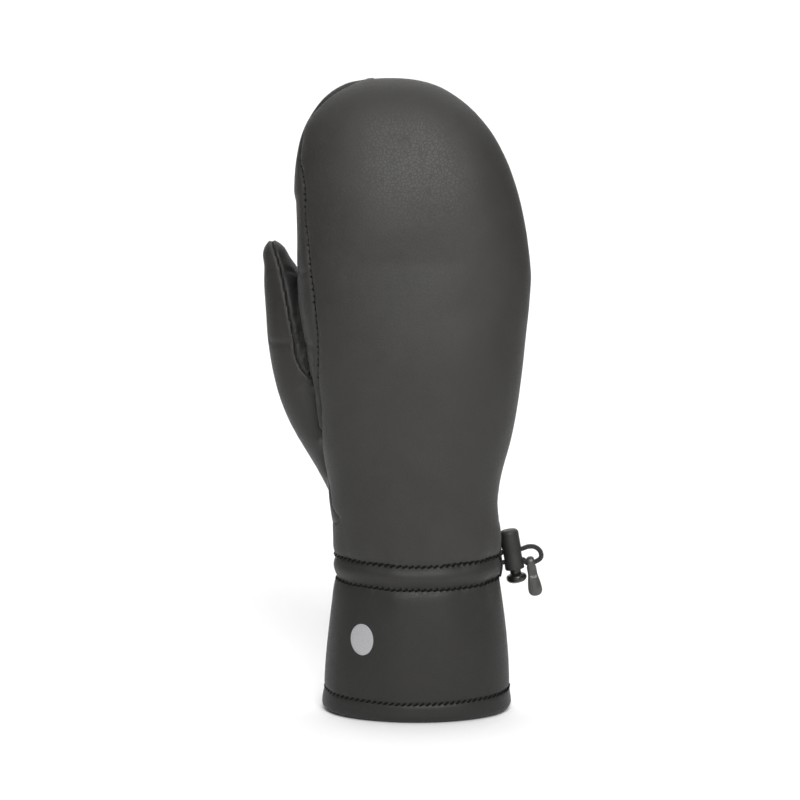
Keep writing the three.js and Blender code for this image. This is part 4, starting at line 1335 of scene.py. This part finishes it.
def make_mark():
    """The reflective oval, a thin film that follows the cuff."""
    low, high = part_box("reflective_mark")
    centre = (low + high) / 2
    p = in_form(np.array([centre]))[0]
    width, height = (high.x - low.x) * 500, (high.z - low.z) * 500
    rings, around = 14, 96
    turn = np.linspace(0, 2 * math.pi, around, endpoint=False)
    rows = []
    for r, out in [(k / rings, 0.16) for k in range(1, rings)] + [(0.985, 0.155), (1.0, 0.10), (1.0, -0.2)]:
        x = p[0] + width * r * np.cos(turn)
        z = p[2] + height * r * np.sin(turn)
        right, left, _, _ = reaches(z)
        n = SQUARE_AT(z)
        side = np.where(x > 0, right, left)
        sine = -np.abs(np.clip(1 - np.abs(x / side) ** n, 0, 1)) ** 0.5
        angle = np.arctan2(sine, np.sign(x) * np.abs(x / side) ** (n / 2))
        lift, _ = cuff_lift(angle, np.zeros_like(z), z)
        rows.append(form_points(z, angle, -lift - out))
    middle = rows[0].mean(0) + (rows[0].mean(0) - rows[1].mean(0)) / 3
    points = np.vstack([middle[None], *rows])
    faces = [(0, 1 + j, 1 + (j + 1) % around) for j in range(around)]
    faces += [tuple(f[::-1] + 1) for f in ring_faces(len(rows), around)]
    faces.append(tuple(1 + (len(rows) - 1) * around + j for j in range(around - 1, -1, -1)))
    mark = new_object("reflective_oval", points, faces)
    placed(mark, "reflective_film", "mitten", "reflective_mark")


# ---------------------------------------------------------------- inner layers


def sliced(points, faces, *conditions):
    """Cuts a skin along each condition and keeps where all of them are above zero."""
    fields = np.stack(conditions, 1)
    for k in range(len(conditions)):
        points, faces, fields = cut(points, faces, fields, k)
    keep = np.ones(len(faces), bool)
    for k in range(len(conditions)):
        keep &= fields[faces, k].sum(1) > 0
    return points, faces[keep]


def inner_piece(name, skin, conditions, thickness, material, node, rough=0.0):
    points, faces = sliced(*skin, *conditions)
    normal = normals_of(points, faces)
    if rough:
        points = points + normal * (ripple(points, 0.016, 2.0) * rough)[:, None]
    piece = thick_panel(name, points, faces, normal, thickness)
    return placed(piece, material, "mitten", node)


def make_layers():
    skin = body_skin(0.0026, 3.5, 3.3, rounds=4)
    inner_piece("film_insert", skin, [in_form(skin[0])[:, 2] - 2.0], 0.0004, "membrane", "waterproof_insert", 0.00012)

    skin = body_skin(0.003, 4.1, 3.8, rounds=4)
    p = in_form(skin[0])
    on_thumb = hand_distance(p, 4.1) - thumb_distance(p, 3.8)
    above = p[:, 2] - CASING_TOP - 0.6
    back = through(EQUATOR)(p[:, 2]) - p[:, 1]
    for name, node, conditions, thickness in (
        ("wadding_back", "back_insulation", [above, back - 0.2, -on_thumb - 0.6], 0.0033),
        ("wadding_palm", "palm_insulation", [above, -back - 0.2, -on_thumb - 0.6], 0.0033),
        ("wadding_thumb", "thumb_insulation", [above, on_thumb - 0.3], 0.0012),
    ):
        inner_piece(name, skin, conditions, thickness, "insulation", node, 0.0002)
    section = spaced((4.2, 2.2), (4.2, 69.4), 50) + spaced((7.3, 69.4), (7.3, 2.2), 50)
    wadding = band("wadding_cuff", section, 160)
    placed(wadding, "insulation", "mitten", "cuff_insulation")

    skin = body_skin(0.0022, 7.9, 5.2, rounds=4)
    high = in_form(skin[0])[:, 2] - CASING_TOP - 0.3
    inner_piece("fleece_hand", skin, [high], 0.0014, "fleece", "hand_lining", 0.0004)
    section = spaced((7.9, 10.6), (7.9, 69.9), 60) + spaced((9.4, 69.9), (9.4, 10.6), 60)
    lining = band("fleece_cuff", section, 300, lining_lift)
    placed(lining, "fleece", "mitten", "cuff_lining")


# ---------------------------------------------------------------- cord, lock and tab


def in_lock(points):
    """Points given outwards, sideways and up from the lock's middle in millimetres, in the row's frame."""
    points = np.asarray(points, float).reshape(-1, 3) * 0.001
    axes = np.array([LOCK_OUT, (0.0, 1.0, 0.0), LOCK_UP])
    return points @ axes + np.array(LOCK)


def curve_of(points, count):
    """Even points on a smooth curve through a few."""
    points = np.asarray(points, float)
    steps = np.concatenate([[0], np.cumsum(np.linalg.norm(np.diff(points, axis=0), axis=1) ** 0.7)])
    fine = np.linspace(0, steps[-1], count * 6)
    dense = np.stack([through(list(zip(steps, points[:, k])))(fine) for k in range(3)], 1)
    run = run_of(dense)
    even = np.linspace(0, run[-1], count)
    return np.stack([np.interp(even, run, dense[:, k]) for k in range(3)], 1)


def swept(name, path, radius, sides=14, wave=None):
    """A closed round tube along a path, with how far along and round it in a UV map named run."""
    path = np.asarray(path, float)
    along = unit(np.gradient(path, axis=0))
    side = np.cross(along[0], (0.0, 1.0, 0.03))
    side /= np.linalg.norm(side)
    length = run_of(path)
    turn = np.linspace(0, 2 * math.pi, sides, endpoint=False)
    points = []
    for k in range(len(path)):
        side = side - along[k] * (side @ along[k])
        side /= np.linalg.norm(side)
        other = np.cross(along[k], side)
        r = radius if wave is None else radius + wave(length[k], turn)
        points.append(path[k] + np.outer(np.cos(turn) * r, side) + np.outer(np.sin(turn) * r, other))
    count = len(path) * sides
    obj = new_object(name, *capped(np.vstack(points), len(path), sides, path[0], path[-1]))
    layer = obj.data.uv_layers.new(name="run")
    ring = np.minimum(np.arange(count + 2) // sides, len(path) - 1)
    for face in obj.data.polygons:
        turns = [(v % sides) / sides for v in face.vertices]
        wraps = max(turns) - min(turns) > 0.5
        for loop, v, t in zip(face.loop_indices, face.vertices, turns):
            layer.data[loop].uv = (length[ring[v]] if v < count else length[0 if v == count else -1],
                                   t + 1.0 if wraps and t < 0.5 else t)
    return obj


def lathed(name, outline, sides=72, start=0.0):
    """A closed turned piece. The outline holds (radius, height) in the lock's millimetres, and its ends lie on the
    axis."""
    turn = np.linspace(0, 2 * math.pi, sides, endpoint=False) + start
    rows = outline[1:-1]
    points = np.vstack([np.stack([r * np.cos(turn), r * np.sin(turn), np.full(sides, z)], 1) for r, z in rows])
    points, faces = capped(points, len(rows), sides, (0, 0, outline[0][1]), (0, 0, outline[-1][1]))
    return new_object(name, in_lock(points), faces)


def oblong(name, low, high, width, depth=16.0, corner_sides=10):
    """A slot with round ends through the lock, along the cord."""
    r = width / 2
    ends = [(high - r, 0.0, math.pi), (low + r, math.pi, 2 * math.pi)]
    outline = [(r * math.cos(a), z + r * math.sin(a)) for z, start, end in ends
               for a in np.linspace(start, end, corner_sides)]
    count = len(outline)
    points = [(x, y, z) for x in (-depth / 2, depth / 2) for y, z in outline]
    faces = [(k, (k + 1) % count, count + (k + 1) % count, count + k) for k in range(count)]
    faces += [tuple(range(count))[::-1], tuple(range(count, 2 * count))]
    return new_object(name, in_lock(points), faces, smooth=False)


def pierced(obj, tool, name, edge=0.00012):
    """A piece with a tool's shape cut out of it, and small rounded edges."""
    made = without(obj, tool, name)
    round_off = made.modifiers.new("edges", "BEVEL")
    round_off.width, round_off.segments = edge, 2
    round_off.limit_method, round_off.angle_limit = "ANGLE", math.radians(48)
    made = applied(made, name)
    made.data.shade_smooth()
    made.data.set_sharp_from_angle(angle=math.radians(35))
    return made


CORD = 2.2
LEGS = (-1.0, -5.8)
BARREL = {"radius": 4.5, "top": 9.0, "bottom": -9.8, "bore": 3.3, "crown": 1.8}
TRAVEL = 2.0
# The knob's profile as radius and height above its foot.
KNOB_HEIGHT = 4.2
KNOB = (
    (0.0, 0.0), (1.4, 0.03), (2.7, 0.2), (3.7, 0.6), (4.4, 1.2), (4.75, 1.9), (4.8, 2.5), (4.7, 3.1), (4.35, 3.65),
)
# The cord's free part, outwards, sideways and up from the lock's middle: out of the casing, through the lock, round
# its loop and back.
LOOP = (
    (-8.4, 0, -4.9), (-6.6, 0, -2.5), (-4.6, 0, -1.1), (0, 0, -1.0), (4.6, 0, -1.0), (8.0, 0, -0.5), (11.0, 0, -1.3),
    (13.0, 0, -3.7), (12.8, 0, -6.6), (9.9, 0, -8.1), (7.7, 0, -8.3), (5.9, 0, -8.0), (4.6, 0, -6.2), (0, 0, -5.8),
    (-4.6, 0, -5.8), (-6.8, 0, -6.4), (-8.6, 0, -8.0),
)


def braid(length, turn):
    """The small swell of crossed yarns on the cord."""
    return 0.000035 * np.sin(length * 2600.0 + 4 * turn) * np.sin(length * 2600.0 - 4 * turn)


def make_cord():
    path = in_lock(curve_of(LOOP, 190))
    loop = swept("cord_free_loop", path, CORD * 0.0005, 16, braid)
    loop.data.materials.append(finish_of("elastic_cord"))
    start, end = in_lock([(4.75, 0, -3.0), (5.85, 0, -3.0)])
    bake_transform(loop)
    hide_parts("drawcord_loop")
    [tuple(p) for p in path[::4]] + [tuple(path[-1])]

    low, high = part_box("drawcord")
    reach_z = (in_form(np.array([low]))[0, 2], in_form(np.array([high]))[0, 2])
    exit_angle = math.asin(10.5 / 24.8)
    turn = np.linspace(exit_angle + 0.22, exit_angle - 0.22 + 2 * math.pi, 260)
    rise = np.linspace(reach_z[0] + CORD / 2, reach_z[1] - CORD / 2, 260)
    middle = form_points(np.full(260, CASING_MIDDLE), turn, 1.15)
    middle[:, 2] = rise * 0.001 + MOUTH.z
    ring = swept("cord_in_casing", middle, CORD * 0.0005, 10, braid)
    placed(ring, "elastic_cord", "mitten", "drawcord")


def make_lock():
    radius, top, bottom, bore, crown = (BARREL[k] for k in ("radius", "top", "bottom", "bore", "crown"))
    turn = np.radians(np.linspace(0, 84, 12))
    outline = (
        [(0.0, bottom), (radius - 0.55, bottom)]
        + [(radius - 0.5 + 0.5 * math.sin(a), bottom + 0.5 - 0.5 * math.cos(a)) for a in np.radians((20, 45, 70, 90))]
        + spaced((radius, bottom + 1.5), (radius, top - crown), 8)
        + [(radius - crown + crown * math.cos(a), top - crown + crown * math.sin(a)) for a in turn[1:]]
        + [(1.4, top - 0.01), (0.0, top)]
    )
    inner = (
        [(0.0, bottom - 1.0), (bore, bottom - 1.0)]
        + spaced((bore, bottom + 1), (bore, top - 1.9), 6)
        + [(bore - 0.5, top - 1.4), (0.0, top - 1.4)]
    )
    # Turned a little, so that none of its corners meets one of the barrel's.
    hollow = lathed("bore", inner, start=0.03)
    solid = without(lathed("barrel_turned", outline), hollow, "barrel_turned")
    slot_top, slot_bottom = LEGS[0] + CORD / 2 + 0.3, LEGS[1] - CORD / 2 - 0.3
    window = oblong("window", slot_bottom - 0.4, slot_top + 0.4, CORD + 1.0)
    barrel = pierced(solid, window, "lock_barrel")
    placed(barrel, "lock_plastic", "mitten", "cord_lock_barrel")

    stem = bore - 0.3
    stem_top = slot_top + 1.5
    neck = bottom - TRAVEL - 0.3
    foot = neck - KNOB_HEIGHT
    outline = [(r, foot + rise) for r, rise in KNOB] + [
        (3.8, neck - 0.22), (stem + 0.1, neck - 0.15), (stem - 0.35, neck + 0.25), (stem - 0.45, neck + 0.8),
        (stem - 0.4, neck + 1.5), (stem, bottom + 0.5), (stem, stem_top - 0.2), (stem - 0.2, stem_top), (0.0, stem_top),
    ]
    solid = lathed("plunger_turned", outline)
    window = oblong("window", slot_bottom - TRAVEL, slot_top, CORD + 0.6)
    plunger = pierced(solid, window, "lock_plunger")
    placed(plunger, "knob_plastic", "plunger", "cord_lock_plunger")

    low, high = stem_top + 0.55, top - 1.4 - 0.55
    turns, wire = 4.0, 0.5
    a = np.linspace(0, 2 * math.pi * (turns + 1.5), 420)
    flat = 2 * math.pi * 0.75
    share = np.clip((a - flat) / (a[-1] - 2 * flat), 0, 1)
    end = np.clip(a / flat, 0, 1) * wire * 0.4
    height = low + (high - low - 2 * wire * 0.4) * share + end * 0.5
    height = height + np.clip((a - a[-1] + flat) / flat, 0, 1) * wire * 0.4
    r = bore - 0.3 - wire / 2 - 0.3
    path = in_lock(np.stack([r * np.cos(a), r * np.sin(a), height], 1))
    spring = swept("lock_spring", path, wire * 0.0005, 8)
    placed(spring, "spring_steel", "plunger", "cord_lock_spring")
    anchor = tuple(in_lock([(0, 0, low)])[0])
    1 - TRAVEL / (high - low)
    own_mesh(spring)


def make_tab():
    """The soft pull tab: an eye, a narrow neck and a ribbed paddle."""
    stations = ((3.1, 1.5, 0.9), (2.9, 2.4, 1.9), (2.4, 3.3, 3.2), (1.4, 4.0, 4.5), (0.0, 4.35, 5.0), (-1.6, 4.5, 4.3),
                (-2.9, 4.5, 3.1), (-4.2, 4.45, 2.2), (-5.9, 4.6, 1.7), (-6.9, 4.95, 2.5), (-9.4, 5.9, 2.5),
                (-11.2, 6.35, 2.45), (-12.8, 6.5, 2.3), (-13.9, 6.2, 2.1), (-14.8, 5.2, 1.8), (-15.4, 3.8, 1.4),
                (-15.75, 1.9, 0.9))
    rise = [(-s[0], s[1]) for s in stations]
    depth = [(-s[0], s[2]) for s in stations]
    sides, rows = 72, 120
    z = -np.concatenate([np.linspace(-3.1, 12.5, 88)[:-1], 12.5 + 3.25 * np.sin(np.linspace(0, math.pi / 2, 33))])
    wide, deep = through(rise)(-z), through(depth)(-z)
    turn = np.linspace(0, 2 * math.pi, sides, endpoint=False)
    points = []
    for k in range(len(z)):
        c, s = np.cos(turn), np.sin(turn)
        x = np.sign(c) * np.abs(c) ** (2 / 3.2) * wide[k] / 2
        y = np.sign(s) * np.abs(s) ** (2 / 2.6) * deep[k] / 2
        grip = float(np.clip((-z[k] - 8.0) / 1.2, 0, 1) * np.clip((14.6 + z[k]) / 1.0, 0, 1))
        ribs = 0.11 * grip * np.cos(x * 2 * math.pi / 0.95) * (np.abs(x) < wide[k] / 2 - 0.55)
        dish = 0.2 * float(bell(z[k] + 6.0, 0.7)) * bell(x, 1.4)
        y = y + np.sign(y) * np.abs(s) ** 0.3 * (ribs - dish)
        points.append(np.stack([EYE_OUT + x, y, np.full(sides, EYE_UP + z[k])], 1))
    points = np.vstack(points)
    ends = [(EYE_OUT, 0, EYE_UP + z[-1] - 0.02), (EYE_OUT, 0, EYE_UP + z[0] + 0.05)]
    order = points.reshape(len(z), sides, 3)[::-1].reshape(-1, 3)
    points, faces = capped(order, len(z), sides, *ends)
    body = new_object("tab_body", in_lock(points), faces)
    turn = np.linspace(0, 2 * math.pi, 40, endpoint=False)
    hole_r = CORD / 2 + 0.35
    rows = []
    flared = ((-4, 2.2), (-1.9, 0.5), (-1.2, 0), (1.2, 0), (1.9, 0.5), (4, 2.2))
    for x, r in ((x, hole_r + more) for x, more in flared):
        rows.append(np.stack([np.full(40, EYE_OUT + x), r * np.cos(turn), EYE_UP + r * np.sin(turn)], 1))
    points, faces = capped(np.vstack(rows), len(rows), 40, (EYE_OUT - 4, 0, EYE_UP), (EYE_OUT + 4, 0, EYE_UP))
    drill = new_object("eye_drill", in_lock(points), faces)
    tab = pierced(body, drill, "rubber_tab", 0.00015)
    placed(tab, "tab_rubber", "tab", "pull_tab")


# The strap's thickness in metres, and as (height, distance) how far it stands out from the form.
STRAP = 0.0011
STRAP_LIFT = (
    (55, 0.3), (58.5, 0.7), (61.5, 1.7), (64, 2.3), (68.5, 2.3), (72, 1.3), (76, 0.1), (83, -0.8), (90, -1.3),
)


def make_keeper():
    """The leather strap behind the lock, sewn into the wrist's seam, with a slot for the cord."""
    low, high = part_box("lock_keeper_strap")
    middle = (low.y + high.y) / 2
    y = np.linspace(low.y, high.y, 25)
    z = np.linspace(high.z - 0.0002, low.z + 0.0002, 70)
    heights = (z - MOUTH.z) * 1000
    side = (low.y - MOUTH.y) * 1000
    right, _, _, front = reaches(heights)
    surface = right * np.clip(1 - np.abs(side / front) ** SQUARE_AT(heights), 0, 1) ** (1 / SQUARE_AT(heights))
    lift = through(STRAP_LIFT)(heights)
    x = (surface + LEAN_AT(heights) + lift) * 0.001 + MOUTH.x
    run = unit(np.gradient(np.stack([x, z], 1), axis=0))
    out = np.stack([-run[:, 1], run[:, 0]], 1)
    edge = np.clip(1 - np.abs((y - middle) / ((high.y - low.y) / 2)) ** 12, 0, 1) ** 0.5

    def face(sign):
        stand = 0.5 + sign * 0.5 * edge
        across = np.broadcast_to(y, (len(z), len(y)))
        return np.stack([x[:, None] + out[:, :1] * STRAP * stand, across, z[:, None] + out[:, 1:] * STRAP * stand], -1)

    rings = np.concatenate([face(1), face(-1)[:, ::-1]], 1)
    rows, around = rings.shape[:2]
    points = rings.reshape(-1, 3)
    faces = [tuple(f[::-1]) for f in ring_faces(rows, around)]
    faces += [tuple(range(around)), tuple(range((rows - 1) * around, rows * around))[::-1]]
    strap = new_object("keeper_strap_body", points, faces)
    eyelet = rounded_block("eyelet", (14.0, 3.6, 9.0), 1.4)
    eyelet.data.transform(Matrix.Translation(Vector((x[35], middle, LOCK.z - 0.0052))))
    strap = pierced(strap, eyelet, "keeper_strap", 0.00008)
    points, faces = arrays(strap.data)
    a, b, c = (points[faces[:, k]] for k in range(3))
    if np.einsum("ij,ij->", a, np.cross(b, c)) < 0:
        strap.data.flip_normals()
    placed(strap, "strap_leather", "mitten", "lock_keeper_strap")


# ---------------------------------------------------------------- stage


def soft_light(name, place, target, size, power):
    light = bpy.data.lights.new(name, "AREA")
    light.shape, light.size, light.size_y, light.energy = "RECTANGLE", size[0], size[1], power
    obj = shown(name, light)
    obj.location = place
    obj.rotation_euler = (Vector(target) - Vector(place)).to_track_quat("-Z", "Y").to_euler()


def make_stage():
    scene = bpy.context.scene
    camera = bpy.data.cameras.new("camera")
    camera.lens, camera.sensor_width = 87.1, 36.0
    view = shown("camera", camera)
    aim = MOUTH + Vector((-0.0077, 0.0, 0.1434))
    tilt = math.radians(6.0)
    view.location = aim + Vector((0, -math.cos(tilt), math.sin(tilt))) * 0.885
    view.rotation_euler = (aim - view.location).to_track_quat("-Z", "Y").to_euler()
    scene.camera = view

    profile = [(-2.2, 0.0), (0.9, 0.0)] + [(0.9 + 0.5 * math.sin(a), 0.5 - 0.5 * math.cos(a))
                                           for a in np.radians(np.linspace(10, 80, 8))] + [(1.4, 0.55), (1.4, 2.6)]
    points = [(x, y, z - 0.0002) for x in (-3.2, 3.2) for y, z in profile]
    count = len(profile)
    sweep = new_object("floor", points, [(k, count + k, count + k + 1, k + 1) for k in range(count - 1)])
    sweep.data.materials.append(finish_of("floor"))

    world = bpy.data.worlds.new("studio")
    world.use_nodes = True
    sky = world.node_tree.nodes["Background"]
    sky.inputs["Color"].default_value = (1, 1, 1, 1)
    sky.inputs["Strength"].default_value = 0.05
    scene.world = world
    scene.view_settings.view_transform = "Standard"
    soft_light("key", (0.15, -1.0, 0.9), (0, 0, 0.24), (0.8, 0.7), 14.5)
    soft_light("front", (0.35, -1.35, 0.75), (0, 0, 0.22), (0.7, 0.6), 4)
    soft_light("back_wall", (0.0, 0.25, 1.9), (0, 1.35, 0.5), (2.8, 0.8), 20)
    soft_light("floor_wash", (0.0, 0.75, 1.6), (0, 0.7, 0.0), (2.8, 0.9), 13)


# ---------------------------------------------------------------- operators and panel


class MITTEN_OT_stage(bpy.types.Operator):
    """Makes the camera, the lights and the floor"""

    bl_idname = "mitten.stage"
    bl_label = "Stage"

    def execute(self, context):
        make_stage()
        return {"FINISHED"}


class MITTEN_OT_tab(bpy.types.Operator):
    """Makes the pull tab"""

    bl_idname = "mitten.tab"
    bl_label = "Pull tab"

    def execute(self, context):
        make_tab()
        return {"FINISHED"}


class MITTEN_OT_cord(bpy.types.Operator):
    """Makes the drawcord in its casing and its free loop"""

    bl_idname = "mitten.cord"
    bl_label = "Drawcord"

    def execute(self, context):
        make_cord()
        return {"FINISHED"}


class MITTEN_OT_lock(bpy.types.Operator):
    """Makes the cord lock's barrel, plunger and spring, and the strap behind it"""

    bl_idname = "mitten.lock"
    bl_label = "Cord lock"

    def execute(self, context):
        make_lock()
        make_keeper()
        return {"FINISHED"}


class MITTEN_OT_cuff(bpy.types.Operator):
    """Makes the cuff, the casing and the rows of stitching round them"""

    bl_idname = "mitten.cuff"
    bl_label = "Cuff and casing"

    def execute(self, context):
        make_cuff()
        return {"FINISHED"}


class MITTEN_OT_mark(bpy.types.Operator):
    """Makes the reflective oval on the cuff"""

    bl_idname = "mitten.mark"
    bl_label = "Reflective oval"

    def execute(self, context):
        make_mark()
        return {"FINISHED"}


class MITTEN_OT_hand(bpy.types.Operator):
    """Makes the leather panels of the hand and the thumb, with their seams"""

    bl_idname = "mitten.hand"
    bl_label = "Hand and thumb"

    def execute(self, context):
        make_hand()
        return {"FINISHED"}


class MITTEN_OT_layers(bpy.types.Operator):
    """Makes the waterproof insert, the filling and the lining"""

    bl_idname = "mitten.layers"
    bl_label = "Inner layers"

    def execute(self, context):
        make_layers()
        return {"FINISHED"}


OPERATORS = (MITTEN_OT_stage, MITTEN_OT_tab, MITTEN_OT_cord, MITTEN_OT_lock, MITTEN_OT_cuff, MITTEN_OT_mark,
             MITTEN_OT_hand, MITTEN_OT_layers)


class MITTEN_PT_panel(bpy.types.Panel):
    """Lists the mitten's sizes, colours and pieces"""

    bl_label = "Ski mitten"
    bl_idname = "MITTEN_PT_panel"
    bl_space_type = "VIEW_3D"
    bl_region_type = "UI"
    bl_category = "Mitten"

    def draw(self, context):
        layout = self.layout
        for group in (context.scene.mitten_sizes, context.scene.stitch_sizes, context.scene.mitten_colours):
            for key in group.__annotations__:
                layout.prop(group, key)
        for operator in OPERATORS:
            layout.operator(operator.bl_idname)


GROUPS = (("mitten_sizes", MittenSizes), ("stitch_sizes", StitchSizes), ("mitten_colours", MittenColours))


def register():
    for name, group in GROUPS:
        bpy.utils.register_class(group)
        setattr(bpy.types.Scene, name, bpy.props.PointerProperty(type=group))
    for made in OPERATORS + (MITTEN_PT_panel,):
        bpy.utils.register_class(made)


def unregister():
    for made in reversed(OPERATORS + (MITTEN_PT_panel,)):
        bpy.utils.unregister_class(made)
    for name, group in reversed(GROUPS):
        delattr(bpy.types.Scene, name)
        bpy.utils.unregister_class(group)


def main():
    register()
    bpy.ops.mitten.stage()
    bpy.ops.mitten.tab()
    bpy.ops.mitten.cord()
    bpy.ops.mitten.lock()
    bpy.ops.mitten.cuff()
    bpy.ops.mitten.mark()
    bpy.ops.mitten.hand()
    bpy.ops.mitten.layers()


if __name__ == "__main__":
    main()
